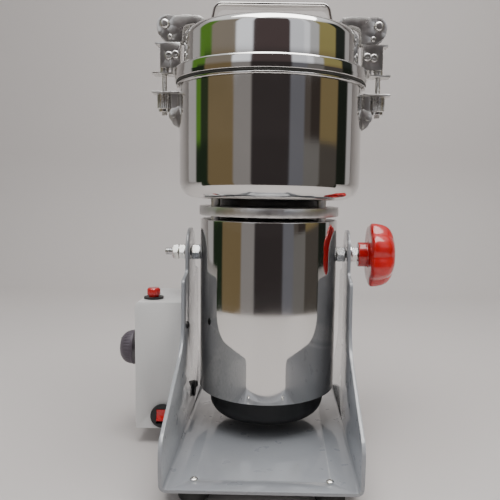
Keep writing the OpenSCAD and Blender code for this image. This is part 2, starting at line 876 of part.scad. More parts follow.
module bowl() {
  color("silver") difference() {
    rotate_extrude() polygon(rounded([
      [0, bowl_z, 0], [bowl_r, bowl_z, bowl_corner_r], [bowl_r, bowl_top - rim_t - seat, 0],
      [bowl_in, bowl_top - rim_t - seat, 0], [bowl_in, bowl_z + bowl_floor_t, bowl_corner_r - bowl_wall],
      [0, bowl_z + bowl_floor_t, 0]
    ]));
    rod_z(seal_r + seat, bowl_z - 1, bowl_z + bowl_floor_t + 1);
  }
}

module bowl_rim() {
  color("silver") translate([0, 0, bowl_top - rim_t]) difference() {
    rotate_extrude() polygon(rounded([
      [bowl_in, 0, 0], [bowl_r + rim_out, 0, 0.8], [bowl_r + rim_out, rim_t, 0.8], [bowl_in, rim_t, 0]
    ]));
  }
}

module shaft_seal() {
  color("dimgray") difference() {
    union() {
      rod_z(seal_r, bowl_z - 6, bowl_z + bowl_floor_t + 0.5);
      rod_z(seal_r + 5, bowl_z + bowl_floor_t + seat, seal_top);
    }
    rod_z(shaft_d / 2 + run, bowl_z - 7, seal_top + 1);
  }
}

// Two ears welded to the bowl on each side, with the clamp's pin between them.
module clamp_bracket() {
  ear_t = 2.5;
  ear_y = clamp_w / 2 - ear_t / 2 + 3.2;
  difference() {
    union() {
      for (y = [-ear_y, ear_y]) across_y(y, ear_t) polygon(rounded([
        [bowl_r - 6, pin_z - 12, 0], [pin_x, pin_z - 10, 5], [pin_x + 5.5, pin_z + 5, 5],
        [pin_x - 6, pin_z + 9, 3], [bowl_r - 6, pin_z + 12, 0]
      ]));
    }
    translate([0, 0, pin_z - 20]) cylinder(r = bowl_r + seat, h = 40);
  }
  rod_y(clamp_pin_d / 2, -ear_y - 4, ear_y + 4, pin_x, pin_z);
}

module clamp_brackets() {
  color("silver") both_sides() clamp_bracket();
}

// ---------- rotor ----------

module rotor_shaft() {
  color("silver") {
    rod_z(shaft_d / 2, lower_bearing_z - 1, blade_z);
    rod_z(shaft_shoulder_d / 2, blade_z - 1, blade_top + 8);
  }
}

module armature_core() {
  color("slategray") translate([0, 0, core_z]) linear_extrude(core_h) difference() {
    circle(r = armature_r);
    circle(r = shaft_d / 2 + seat);
    for (a = [0:30:330]) rotate(a) translate([armature_r - 6, 0]) union() {
      circle(r = 3.2);
      translate([0, -1.2]) square([8, 2.4]);
    }
  }
}

module winding_ring(z, h) {
  translate([0, 0, z]) rotate_extrude() polygon(rounded([
    [shaft_d / 2 + 4, 0, 2], [armature_r - 4, 0, 2], [armature_r - 4, h, 3], [shaft_d / 2 + 4, h, 3]
  ]));
}

module armature_windings() {
  color("orangered") {
    winding_ring(core_z + core_h + seat, 11);
    translate([0, 0, core_z - seat]) mirror([0, 0, 1]) winding_ring(0, 9);
  }
}

module commutator() {
  color("goldenrod") difference() {
    rod_z(commutator_r, commutator_z, commutator_z + commutator_h);
    rod_z(shaft_d / 2 + seat, commutator_z - 1, commutator_z + commutator_h + 1);
  }
}

module cooling_fan() {
  color("whitesmoke") difference() {
    union() {
      rod_z(14, fan_z, fan_z + fan_h);
      rod_z(fan_r, fan_z, fan_z + 2);
      for (i = [0:fan_blades - 1]) rotate([0, 0, i * 360 / fan_blades])
        translate([24, -1, fan_z + 1]) rotate([0, 0, 12]) cube([fan_r - 27, 2, fan_h - 1]);
    }
    rod_z(shaft_d / 2 + seat, fan_z - 1, fan_z + fan_h + 1);
  }
}

// A flat blade with one raked edge at each end.
module blade_outline() {
  polygon([
    for (side = [1, -1]) each side * [
      [14, -blade_w / 2], [blade_tip_r * 0.72, -blade_w / 2 + 2], [blade_tip_r - 1.5, blade_w / 2 - 5],
      [blade_tip_r - 4, blade_w / 2 - 1.5], [14, blade_w / 2]
    ]
  ]);
}

module beater_blades() {
  color("gainsboro") for (i = [0:blade_count - 1])
    translate([0, 0, blade_z + i * blade_pitch]) rotate([0, 0, 60 * i]) difference() {
      linear_extrude(blade_t) blade_outline();
      translate([0, 0, -1]) cylinder(r = shaft_shoulder_d / 2 + seat, h = blade_t + 2);
    }
}

module blade_spacers() {
  color("gray") for (i = [0:blade_count - 2]) difference() {
    rod_z(13, blade_z + i * blade_pitch + blade_t + seat / 2, blade_z + (i + 1) * blade_pitch - seat / 2);
    rod_z(shaft_shoulder_d / 2 + seat, blade_z, blade_top);
  }
}

module blade_nut() {
  color("silver") translate([0, 0, blade_top + seat]) difference() {
    union() {
      cylinder(r = 12, h = 2);
      intersection() {
        cylinder(d = 19 / cos(30), h = blade_nut_h, $fn = 6);
        rotate_extrude() polygon(rounded([
          [0, 0, 0], [11.5, 0, 0], [11.5, blade_nut_h, 9], [0, blade_nut_h, 0]
        ]));
      }
    }
    translate([0, 0, -1]) cylinder(r = shaft_shoulder_d / 2 + seat, h = 9.4);
  }
}

// ---------- lid ----------

module lid_shell() {
  inner = lid_r - bowl_wall;
  color("silver") rotate_extrude() polygon(rounded([
    [lid_r, ring_z + 1, 0], [lid_r, lid_top, lid_shoulder_r], [0, lid_top, 0],
    [0, lid_top - bowl_wall, 0], [inner, lid_top - bowl_wall, lid_shoulder_r - bowl_wall], [inner, ring_z + 1, 0]
  ]));
}

module lid_ring() {
  color("silver") rotate_extrude() polygon(rounded([
    [lid_r + seat, ring_z, 0], [skirt_r - 1.3, ring_z, 0], [skirt_r - 1.3, ring_z - lid_skirt_h, 0],
    [skirt_r, ring_z - lid_skirt_h, 0], [skirt_r, ring_z, 0],
    [ring_r, ring_z, 1.2], [ring_r, ring_top, 2.6], [lid_r + seat, ring_top, 0]
  ]));
}

module lid_gasket() {
  color("black") rotate_extrude() polygon(rounded([
    [skirt_r + 0.3, ring_z - seat - gasket_t, 0], [ring_r - 1.2, ring_z - seat - gasket_t, 0.7],
    [ring_r - 1.2, ring_z - seat, 0.7], [skirt_r + 0.3, ring_z - seat, 0]
  ]));
}

module handle_outline(inset) {
  half = handle_span / 2 - inset;
  top = lid_top + handle_h - inset;
  rise = inset == 0 ? 0 : -1;
  lean = handle_lean * (handle_h - inset) / handle_h;
  polygon(rounded([
    [-half, lid_top + seat + rise, 0], [-half + lean, top, handle_corner_r - inset],
    [half - lean, top, handle_corner_r - inset], [half, lid_top + seat + rise, 0]
  ]));
}

module lid_handle() {
  foot_x0 = handle_span / 2 - handle_foot_l - handle_t;
  color("silver") difference() {
    union() {
      across_y(0, handle_w) difference() {
        handle_outline(0);
        handle_outline(handle_t);
      }
      both_sides() translate([foot_x0, -handle_w / 2, lid_top + seat])
        cube([handle_foot_l + 1, handle_w, handle_t]);
    }
    rivet_places() rod_z(rivet_r + seat, lid_top - 1, lid_top + handle_t + 2);
  }
}

module rivet_places() {
  for (x = [-1, 1], y = [-5, 5])
    translate([x * (handle_span / 2 - 10.5), y, 0]) children();
}

module handle_rivets() {
  color("silver") rivet_places() {
    rod_z(rivet_r, lid_top + seat, lid_top + handle_t + 1);
    translate([0, 0, lid_top + handle_t + 2 * seat]) rotate_extrude() polygon(rounded([
      [0, 0, 0], [3.6, 0, 0], [3.6, 1.6, 1.2], [0, 1.6, 0]
    ]));
  }
}

// ---------- clamps, drawn for the +X side ----------

// The leg on the hinge pin and the ledge that the knurled nut pulls on.
module clamp_carrier() {
  eye_r = clamp_pin_d / 2 + 2.6;
  leg_in = ledge_x + 1;
  leg_out = rod_x - knurl_d / 2 - 0.6;
  difference() {
    union() {
      for (y = [-1, 1]) {
        across_y(y * (clamp_w / 2 - clamp_t / 2), clamp_t)
          translate([leg_in, pin_z]) square([leg_out - leg_in, ledge_z + clamp_t / 2 - pin_z]);
        across_y(y * (clamp_w / 2 - clamp_t / 2), clamp_t) translate([pin_x, pin_z]) circle(r = eye_r);
      }
      translate([ledge_x, -clamp_w / 2 - 0.4, ledge_z])
        cube([rod_x + 11.5 - ledge_x, clamp_w + 0.8, clamp_t]);
    }
    rod_y(clamp_pin_d / 2 + run, -clamp_w, clamp_w, pin_x, pin_z);
    rod_z(rod_d / 2 + run, ledge_z - 1, ledge_z + clamp_t + 1, rod_x);
  }
}

module clamp_screw(x, z) {
  face = -clamp_w / 2 - seat;
  rod_y(1.6, face - 0.5, face + clamp_t + 3, x, z);
  translate([x, face, z]) rotate([90, 0, 0]) difference() {
    rotate_extrude() polygon(rounded([[0, 0, 0], [3.9, 0, 0], [3.9, 2.2, 1.4], [0, 2.2, 0]]));
    for (a = [0, 90]) rotate([0, 0, a]) translate([-2, -0.45, 1.2]) cube([4, 0.9, 2]);
  }
}

// The bent box round the rod, with a flange above and below and its two screws.
module clamp_box() {
  inner_w = clamp_w - 2 * clamp_t;
  difference() {
    union() {
      difference() {
        translate([box_in_x, -clamp_w / 2, ring_top + 2.6])
          cube([box_out_x - box_in_x - 4, clamp_w, box_top - ring_top - 2.6]);
        translate([box_in_x + clamp_t, -inner_w / 2, ring_top + 2.6 + clamp_t])
          cube([box_out_x - box_in_x - 4 - 2 * clamp_t, inner_w, box_top]);
      }
      rod_z(4.5, box_bottom, box_top - 8, rod_x);
      translate([ring_r + 1.6, -clamp_w / 2, box_bottom])
        cube([rod_x + 11 - ring_r - 1.6, clamp_w, clamp_t]);
      translate([ring_r + 1.6, -clamp_w / 2, box_bottom])
        cube([clamp_t, clamp_w, ring_top + 4 - box_bottom]);
      translate([box_in_x + 12, -clamp_w / 2, box_top - clamp_t])
        cube([box_out_x - box_in_x - 11, clamp_w, clamp_t]);
    }
    rod_z(rod_d / 2 + seat, box_bottom - 1, box_top - 10, rod_x);
    rod_y(1.6 + seat, -clamp_w, 0, rod_x - 5.8, box_top - 13);
    rod_y(1.6 + seat, -clamp_w, 0, box_in_x + 4.6, box_top - 12);
  }
}

// Side view of the pressing arm: a round end at the bolt, an arch over the lid's
// shoulder that comes down on the lid, and a leg that stands on the box.
module arm_outline() {
  round_x = arm_bolt_x + arm_end_r;
  tip_z = lid_top + pad_h + 2 * seat;
  polygon(rounded([
    [arm_tip_x, tip_z, 1], [arm_tip_x + pad_w + 1, tip_z, 1], [arm_tip_x + pad_w + 3, arm_top_z - 8, 4],
    [box_in_x - 3, arm_top_z - 10, 6], [box_in_x - 2, box_top + 0.4, 0], [box_in_x + 13, box_top + 0.4, 3],
    [round_x - 3, arm_bolt_z - arm_end_r, 7], [round_x, arm_bolt_z + arm_end_r, arm_end_r - 0.2],
    [arm_bolt_x - arm_end_r, arm_bolt_z + arm_end_r - 1.4, 6], [arm_tip_x + 18, arm_top_z, 12],
    [arm_tip_x + 3, arm_top_z - 1, 9], [arm_tip_x, tip_z + 5, 3]
  ]));
}

// The pressing arm: two side plates joined by webs.
module clamp_arm() {
  difference() {
    union() {
      for (y = [-1, 1]) across_y(y * (clamp_w / 2 - clamp_t / 2), clamp_t) arm_outline();
      translate([arm_tip_x + 1, -clamp_w / 2 + 1, lid_top + pad_h + 1]) cube([pad_w - 1, clamp_w - 2, 3]);
      translate([box_in_x, -clamp_w / 2 + 1, box_top + 1]) cube([9, clamp_w - 2, 6]);
    }
    rod_y(3 + seat, -clamp_w, clamp_w, arm_bolt_x, arm_bolt_z);
    rod_y(1.5 + seat, -clamp_w, clamp_w, arm_pin_x, arm_pin_z);
  }
}

module clamp_arm_bolt() {
  half = clamp_w / 2;
  rod_y(3, -half - 0.5, half + 0.5, arm_bolt_x, arm_bolt_z);
  for (s = [0, 180]) translate([arm_bolt_x, 0, arm_bolt_z]) rotate([90, 0, s])
    translate([0, 0, half + seat]) rotate_extrude() polygon(rounded([
      [0, 0, 0], [4.6, 0, 0], [4.6, 3, 2.4], [0, 3, 0]
    ]));
}

// The small cross pin where the leg meets the box.
module clamp_arm_pin() {
  half = clamp_w / 2;
  rod_y(1.5, -half - 0.5, half + 0.5, arm_pin_x, arm_pin_z);
  for (s = [0, 180]) translate([arm_pin_x, 0, arm_pin_z]) rotate([90, 0, s])
    translate([0, 0, half + seat]) rotate_extrude() polygon(rounded([
      [0, 0, 0], [2.5, 0, 0], [2.5, 1.8, 1.4], [0, 1.8, 0]
    ]));
}

module clamp_pad() {
  translate([arm_tip_x + 0.5, -clamp_w / 2 + 1, lid_top + seat])
    cube([pad_w, clamp_w - 2, pad_h]);
}

module clamp_rod() {
  rod_z(rod_d / 2, thread_z, box_top - 11, rod_x);
}

module clamp_nut() {
  teeth = 24;
  difference() {
    translate([rod_x, 0, ledge_z - knurl_h - seat]) difference() {
      rotate_extrude() polygon(rounded([
        [0, 0, 0], [knurl_d / 2 - 1.5, 0, 0.6], [knurl_d / 2 - 1.5, 3, 0], [knurl_d / 2, 3.6, 0.3],
        [knurl_d / 2, knurl_h, 0.6], [0, knurl_h, 0]
      ]));
      for (i = [0:teeth - 1]) rotate([0, 0, i * 360 / teeth])
        translate([knurl_d / 2 + 0.35, 0, 3.8]) cylinder(r = 0.75, h = knurl_h - 5.2, $fn = 16);
    }
    rod_z(rod_d / 2 + run, thread_z - 1, ledge_z + 1, rod_x);
  }
}

module clamp_carrier_right() {
  color("silver") clamp_carrier();
}

module clamp_box_right() {
  color("silver") {
    clamp_box();
    clamp_rod();
    clamp_screw(rod_x - 5.8, box_top - 13);
    clamp_screw(box_in_x + 4.6, box_top - 12);
  }
}

module clamp_arm_right() {
  color("silver") {
    clamp_arm();
    clamp_arm_bolt();
    clamp_arm_pin();
  }
  color("black") clamp_pad();
}

module clamp_nut_right() {
  color("silver") clamp_nut();
}

module clamp_carrier_left() {
  mirror([1, 0, 0]) clamp_carrier_right();
}

module clamp_box_left() {
  mirror([1, 0, 0]) clamp_box_right();
}

module clamp_arm_left() {
  mirror([1, 0, 0]) clamp_arm_right();
}

module clamp_nut_left() {
  mirror([1, 0, 0]) clamp_nut_right();
}

base_frame();
rubber_feet();
foot_screws();
pivot_bushes();
control_box();
control_box_base();
box_screws();
cable_grommet();
timer_body();
timer_dial();
switch_body();
switch_rocker();
overload_body();
reset_button();
mains_inlet();
inlet_screws();
terminal_block();
motor_housing();
bottom_cover();
cover_screws();
lower_bracket();
brush_holders();
stator_core();
field_coils();
ball_bearings();
housing_ring();
mounting_flange();
support_posts();
post_bolts();
neck_sleeve();
pivot_studs();
pivot_nuts();
pivot_washers();
bowl();
bowl_rim();
shaft_seal();
clamp_brackets();
rotor_shaft();
armature_core();
armature_windings();
commutator();
cooling_fan();
beater_blades();
blade_spacers();
blade_nut();
lid_shell();
lid_ring();
lid_gasket();
lid_handle();
handle_rivets();
lock_knob();
knob_insert();
clamp_carrier_right();
clamp_box_right();
clamp_arm_right();
clamp_nut_right();
clamp_carrier_left();
clamp_box_left();
clamp_arm_left();
clamp_nut_left();
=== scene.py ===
"""The look of the swing-type grain mill: smooth turned shells, a moulded knob, threaded
studs and a finish for every piece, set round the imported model.  Metres throughout."""

import json
import math

import bmesh
import bpy
from mathutils import Matrix, Vector


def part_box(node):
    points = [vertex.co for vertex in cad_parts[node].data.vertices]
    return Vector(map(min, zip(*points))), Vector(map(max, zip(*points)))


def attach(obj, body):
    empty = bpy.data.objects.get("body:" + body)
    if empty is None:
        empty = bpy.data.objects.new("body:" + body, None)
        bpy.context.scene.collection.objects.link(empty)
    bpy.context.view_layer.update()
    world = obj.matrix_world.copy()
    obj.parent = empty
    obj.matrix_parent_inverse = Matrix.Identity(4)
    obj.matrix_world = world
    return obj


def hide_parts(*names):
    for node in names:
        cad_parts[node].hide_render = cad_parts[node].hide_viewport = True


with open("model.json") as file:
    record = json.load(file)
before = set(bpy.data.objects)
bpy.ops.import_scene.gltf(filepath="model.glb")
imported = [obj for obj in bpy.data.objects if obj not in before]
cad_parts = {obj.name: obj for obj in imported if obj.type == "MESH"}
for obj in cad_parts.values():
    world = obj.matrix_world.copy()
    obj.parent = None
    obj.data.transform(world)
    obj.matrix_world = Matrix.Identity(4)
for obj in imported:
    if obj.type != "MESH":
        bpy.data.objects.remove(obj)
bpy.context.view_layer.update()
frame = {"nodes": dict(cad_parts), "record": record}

MM = 0.001
TURN = 2 * math.pi
SLOT_OF = {part["node"]: part["material_slot"] for part in frame["record"]["subparts"]}
JOINT_AT = {joint["name"]: joint.get("pos_m") for joint in frame["record"]["behaviour"]["joints"]}


# ---------- finishes ----------

class Finish:
    """A material whose colour, roughness and relief come from a few procedural nodes."""

    def __init__(self, name, **sockets):
        self.material = bpy.data.materials.new(name)
        self.material.use_nodes = True
        self.tree = self.material.node_tree
        self.shader = self.tree.nodes["Principled BSDF"]
        for key, value in sockets.items():
            self.shader.inputs[key.replace("_", " ")].default_value = value
        self.place = self.add("ShaderNodeTexCoord").outputs["Object"]
        self.normal = None

    def add(self, kind, **settings):
        node = self.tree.nodes.new(kind)
        for key, value in settings.items():
            setattr(node, key, value)
        return node

    def join(self, source, target):
        self.tree.links.new(source, target)

    def scaled(self, scale):
        node = self.add("ShaderNodeMapping")
        node.inputs["Scale"].default_value = scale
        self.join(self.place, node.inputs["Vector"])
        return node.outputs["Vector"]

    def noise(self, scale, detail=3.0, stretch=(1, 1, 1), distortion=0.0):
        node = self.add("ShaderNodeTexNoise")
        node.inputs["Scale"].default_value = scale
        node.inputs["Detail"].default_value = detail
        node.inputs["Distortion"].default_value = distortion
        self.join(self.scaled(stretch), node.inputs["Vector"])
        return node.outputs["Fac"]

    def ramp(self, factor, stops):
        node = self.add("ShaderNodeValToRGB")
        elements = node.color_ramp.elements
        while len(elements) < len(stops):
            elements.new(0.5)
        for element, (position, colour) in zip(elements, stops):
            element.position = position
            element.color = (*colour, 1.0)
        self.join(factor, node.inputs["Fac"])
        return node.outputs["Color"]

    def span(self, factor, low, high, start=0.3, end=0.7):
        node = self.add("ShaderNodeMapRange")
        node.inputs["From Min"].default_value = start
        node.inputs["From Max"].default_value = end
        node.inputs["To Min"].default_value = low
        node.inputs["To Max"].default_value = high
        self.join(factor, node.inputs["Value"])
        return node.outputs["Result"]

    def math(self, operation, a, b=None):
        node = self.add("ShaderNodeMath", operation=operation)
        for socket, value in zip(node.inputs, (a, b)):
            if isinstance(value, (int, float)):
                socket.default_value = value
            elif value is not None:
                self.join(value, socket)
        return node.outputs["Value"]

    def mixed(self, factor, a, b):
        node = self.add("ShaderNodeMix", data_type="RGBA")
        self.join(factor, node.inputs["Factor"])
        for socket, value in ((node.inputs["A"], a), (node.inputs["B"], b)):
            if isinstance(value, tuple):
                socket.default_value = (*value, 1.0)
            else:
                self.join(value, socket)
        return node.outputs["Result"]

    def colour(self, source):
        self.join(source, self.shader.inputs["Base Color"])

    def rough(self, source):
        self.join(source, self.shader.inputs["Roughness"])

    def relief(self, height, depth):
        """Adds bumps depth metres high on top of the relief so far."""
        node = self.add("ShaderNodeBump")
        node.inputs["Strength"].default_value = 1.0
        node.inputs["Distance"].default_value = depth
        self.join(height, node.inputs["Height"])
        if self.normal:
            self.join(self.normal, node.inputs["Normal"])
        self.normal = node.outputs["Normal"]
        self.join(self.normal, self.shader.inputs["Normal"])

    def radius(self):
        """Distance from the motor's axis."""
        parts = self.add("ShaderNodeSeparateXYZ")
        self.join(self.place, parts.inputs["Vector"])
        squares = [self.math("MULTIPLY", parts.outputs[k], parts.outputs[k]) for k in ("X", "Y")]
        return self.math("SQRT", self.math("ADD", *squares))

    def worn_edges(self, base, bare, start=0.53, end=0.62):
        """Base colour that lightens on convex edges, broken up by a fine noise."""
        sharp = self.span(self.add("ShaderNodeNewGeometry").outputs["Pointiness"], 0.0, 1.0, start, end)
        broken = self.math("MULTIPLY", sharp, self.noise(240, 4))
        return self.mixed(broken, base, bare)


def polished_stainless():
    f = Finish("polished_stainless", Metallic=1.0)
    cloud = f.noise(9, 4, distortion=0.6)
    f.colour(f.ramp(cloud, [(0.3, (0.80, 0.785, 0.765)), (0.7, (0.70, 0.69, 0.68))]))
    smear = f.noise(26, 5, stretch=(1, 1, 0.35), distortion=1.2)
    f.rough(f.span(smear, 0.025, 0.10))
    f.relief(f.noise(13, 1, stretch=(1, 1, 0.25)), 0.00022)
    f.relief(f.noise(14, 3, stretch=(1, 1, 90)), 0.0000035)
    return f


def clamp_steel():
    f = Finish("clamp_steel", Metallic=1.0)
    f.colour(f.ramp(f.noise(30, 3), [(0.3, (0.66, 0.65, 0.63)), (0.72, (0.73, 0.72, 0.70))]))
    f.rough(f.span(f.noise(60, 3), 0.26, 0.36))
    f.relief(f.noise(60, 3, stretch=(30, 1, 1)), 0.000003)
    return f


def bright_zinc():
    f = Finish("bright_zinc", Metallic=1.0)
    f.colour(f.ramp(f.noise(90, 3), [(0.3, (0.72, 0.73, 0.76)), (0.7, (0.80, 0.78, 0.72))]))
    f.rough(f.span(f.noise(300, 4), 0.14, 0.30))
    f.relief(f.noise(900, 2), 0.00001)
    return f


def cast_aluminium():
    f = Finish("cast_aluminium", Metallic=1.0)
    f.colour(f.ramp(f.noise(40, 4), [(0.3, (0.60, 0.595, 0.59)), (0.7, (0.74, 0.735, 0.73))]))
    f.rough(f.span(f.noise(150, 3), 0.30, 0.46))
    rings = f.math("SINE", f.math("MULTIPLY", f.radius(), TURN / (0.45 * MM)))
    f.relief(rings, 0.000006)
    f.relief(f.noise(700, 3), 0.00001)
    return f


def stand_paint():
    f = Finish("stand_paint", Coat_Weight=1.0, Coat_Roughness=0.04, Specular_IOR_Level=0.5)
    base = f.ramp(f.noise(16, 5), [(0.25, (0.25, 0.26, 0.285)), (0.75, (0.285, 0.30, 0.325))])
    f.colour(f.worn_edges(base, (0.42, 0.43, 0.44)))
    f.rough(f.span(f.noise(70, 4), 0.26, 0.36))
    f.relief(f.noise(620, 2), 0.000001)
    f.relief(f.noise(18, 2), 0.00002)
    return f


def box_paint():
    f = Finish("box_paint", Coat_Weight=0.2, Coat_Roughness=0.2)
    base = f.ramp(f.noise(14, 5), [(0.25, (0.68, 0.68, 0.68)), (0.75, (0.74, 0.74, 0.735))])
    f.colour(f.worn_edges(base, (0.78, 0.78, 0.77)))
    f.rough(f.span(f.noise(80, 4), 0.30, 0.46))
    f.relief(f.noise(760, 2), 0.00003)
    return f


def moulding(name, dark, light, rough, grain=1400, depth=0.00002, **sockets):
    """A moulded or rubber surface: two close tones and a fine grain."""
    f = Finish(name, **sockets)
    f.colour(f.ramp(f.noise(60, 4), [(0.3, dark), (0.7, light)]))
    f.rough(f.span(f.noise(110, 3), *rough))
    f.relief(f.noise(grain, 2), depth)
    return f


def red_plastic():
    f = moulding("red_plastic", (0.50, 0.006, 0.008), (0.62, 0.012, 0.012), (0.13, 0.24),
                 grain=260, depth=0.00003, Coat_Weight=0.5, Coat_Roughness=0.06, Specular_IOR_Level=0.55)
    f.relief(f.noise(45, 2), 0.0002)
    return f


def copper():
    f = Finish("copper", Metallic=1.0, Coat_Weight=0.6, Coat_Roughness=0.15)
    f.colour(f.ramp(f.noise(200, 3), [(0.3, (0.52, 0.20, 0.08)), (0.7, (0.72, 0.32, 0.15))]))
    f.rough(f.span(f.noise(150, 3), 0.25, 0.42))
    wires = f.add("ShaderNodeTexWave", wave_type="BANDS", bands_direction="DIAGONAL")
    wires.inputs["Scale"].default_value = 260
    wires.inputs["Distortion"].default_value = 1.5
    f.join(f.place, wires.inputs["Vector"])
    f.relief(wires.outputs["Fac"], 0.0003)
    return f


def laminations():
    f = Finish("laminations", Metallic=0.9)
    f.colour(f.ramp(f.noise(70, 4), [(0.3, (0.13, 0.13, 0.14)), (0.7, (0.24, 0.235, 0.23))]))
    f.rough(f.span(f.noise(90, 3), 0.42, 0.60))
    sheets = f.add("ShaderNodeTexWave", wave_type="BANDS", bands_direction="Z")
    sheets.inputs["Scale"].default_value = 320
    f.join(f.place, sheets.inputs["Vector"])
    f.relief(sheets.outputs["Fac"], 0.00012)
    return f


def brass():
    f = Finish("brass", Metallic=1.0)
    f.colour(f.ramp(f.noise(80, 3), [(0.3, (0.62, 0.44, 0.19)), (0.7, (0.76, 0.57, 0.27))]))
    f.rough(f.span(f.noise(200, 3), 0.22, 0.36))
    f.relief(f.noise(120, 2, stretch=(1, 1, 25)), 0.00001)
    return f


def blade_steel():
    f = Finish("blade_steel", Metallic=1.0)
    f.colour(f.ramp(f.noise(45, 4), [(0.3, (0.58, 0.58, 0.59)), (0.7, (0.70, 0.70, 0.71))]))
    f.rough(f.span(f.noise(90, 3), 0.18, 0.34))
    f.relief(f.noise(30, 4, stretch=(1, 40, 1)), 0.00002)
    return f


FINISHES = {
    "polished_stainless": polished_stainless(),
    "clamp_steel": clamp_steel(),
    "bright_zinc": bright_zinc(),
    "cast_aluminium": cast_aluminium(),
    "stand_paint": stand_paint(),
    "box_paint": box_paint(),
    "black_plastic": moulding("black_plastic", (0.012, 0.012, 0.013), (0.022, 0.022, 0.023), (0.38, 0.55)),
    "red_plastic": red_plastic(),
    "dial_plastic": moulding("dial_plastic", (0.075, 0.062, 0.078), (0.10, 0.085, 0.105), (0.36, 0.50)),
    "white_plastic": moulding("white_plastic", (0.70, 0.69, 0.66), (0.78, 0.77, 0.74), (0.32, 0.46)),
    "black_rubber": moulding("black_rubber", (0.012, 0.012, 0.012), (0.026, 0.026, 0.025), (0.62, 0.80),
                             grain=900, depth=0.00005),
    "gasket_rubber": moulding("gasket_rubber", (0.03, 0.03, 0.027), (0.05, 0.05, 0.045), (0.5, 0.68),
                              grain=700, depth=0.00004),
    "brass": brass(),
    "copper": copper(),
    "laminations": laminations(),
    "blade_steel": blade_steel(),
}


# ---------- building pieces ----------

def place_piece(name, bm, body, slot, replaced=(), crease=35, bevel=0.0):
    """Turns a bmesh into a named piece with its finish, riding on its body."""
    bmesh.ops.recalc_face_normals(bm, faces=bm.faces)
    mesh = bpy.data.meshes.new(name)
    bm.to_mesh(mesh)
    bm.free()
    mesh.polygons.foreach_set("use_smooth", [True] * len(mesh.polygons))
    if not bevel:
        mesh.set_sharp_from_angle(angle=math.radians(crease))
    mesh.materials.append(FINISHES[slot].material)
    piece = bpy.data.objects.new(name, mesh)
    bpy.context.collection.objects.link(piece)
    if bevel:
        soften(piece, bevel, crease)
    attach(piece, body)
    if replaced:
        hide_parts(*replaced)
    return piece


def soften(piece, width, crease=35, segments=2):
    """Rounds the sharp edges with a small bevel and keeps the flats flat."""
    bevel = piece.modifiers.new("edges", "BEVEL")
    bevel.width = width
    bevel.segments = segments
    bevel.limit_method = "ANGLE"
    bevel.angle_limit = math.radians(crease)
    bevel.harden_normals = True


def about(axis, centre):
    """Takes (radius, turn, height) round an axis to the row frame."""
    across = {"X": (Vector((0, 1, 0)), Vector((0, 0, 1)), Vector((1, 0, 0))),
              "-X": (Vector((0, 1, 0)), Vector((0, 0, 1)), Vector((-1, 0, 0))),
              "Y": (Vector((1, 0, 0)), Vector((0, 0, 1)), Vector((0, 1, 0))),
              "-Y": (Vector((1, 0, 0)), Vector((0, 0, 1)), Vector((0, -1, 0))),
              "Z": (Vector((1, 0, 0)), Vector((0, 1, 0)), Vector((0, 0, 1))),
              "-Z": (Vector((1, 0, 0)), Vector((0, 1, 0)), Vector((0, 0, -1)))}[axis]
    u, v, w = across
    origin = Vector(centre)
    return lambda r, a, h: origin + u * r * math.cos(a) + v * r * math.sin(a) + w * h


def join_rings(bm, low, high, steps):
    """Joins two rings of points with faces. Either ring may be a single point on the axis."""
    for i in range(steps):
        j = (i + 1) % steps
        corners = [low[i % len(low)], low[j % len(low)], high[j % len(high)], high[i % len(high)]]
        corners = list(dict.fromkeys(corners))
        if len(corners) > 2:
            bm.faces.new(corners)


def turned(bm, outline, axis="Z", centre=(0, 0, 0), steps=128, shape=None, closed=True):
    """Adds an outline of (radius, height) points, turned round an axis. shape(radius, turn,
    height) changes a radius on the way. An end on the axis closes to one point."""
    at = about(axis, centre)
    rings = []
    for r, h in outline:
        if r < 1e-7:
            rings.append([bm.verts.new(at(0, 0, h))])
            continue
        turns = [TURN * i / steps for i in range(steps)]
        rings.append([bm.verts.new(at(shape(r, a, h) if shape else r, a, h)) for a in turns])
    pairs = list(zip(rings, rings[1:]))
    if closed:
        pairs.append((rings[-1], rings[0]))
    for low, high in pairs:
        join_rings(bm, low, high, steps)
    return bm


def rounded(corners, steps=8, closed=True):
    """A polyline with round corners, from points given as (x, y, corner radius)."""
    line = []
    count = len(corners)
    for i, (x, y, r) in enumerate(corners):
        here = Vector((x, y))
        if r <= 0 or (not closed and i in (0, count - 1)):
            line.append((x, y))
            continue
        before = (Vector(corners[i - 1][:2]) - here).normalized()
        after = (Vector(corners[(i + 1) % count][:2]) - here).normalized()
        half = before.angle(after) / 2
        centre = here + (before + after).normalized() * r / math.sin(half)
        start = here + before * r / math.tan(half) - centre
        end = here + after * r / math.tan(half) - centre
        sweep = start.angle_signed(end)
        for k in range(steps + 1):
            p = centre + Matrix.Rotation(-sweep * k / steps, 2) @ start
            line.append((p.x, p.y))
    return line


def smooth_line(points, per_span=5):
    """A Catmull-Rom curve through points, as a list of tuples."""
    ends = [points[0], *points, points[-1]]
    line = []
    for i in range(1, len(ends) - 2):
        p = [Vector(q) for q in ends[i - 1:i + 3]]
        for k in range(per_span):
            t = k / per_span
            q = (p[1] * 2 + (p[2] - p[0]) * t + (p[0] * 2 - p[1] * 5 + p[2] * 4 - p[3]) * t ** 2
                 + (p[1] * 3 - p[0] - p[2] * 3 + p[3]) * t ** 3) / 2
            line.append(tuple(q))
    line.append(tuple(points[-1]))
    return line


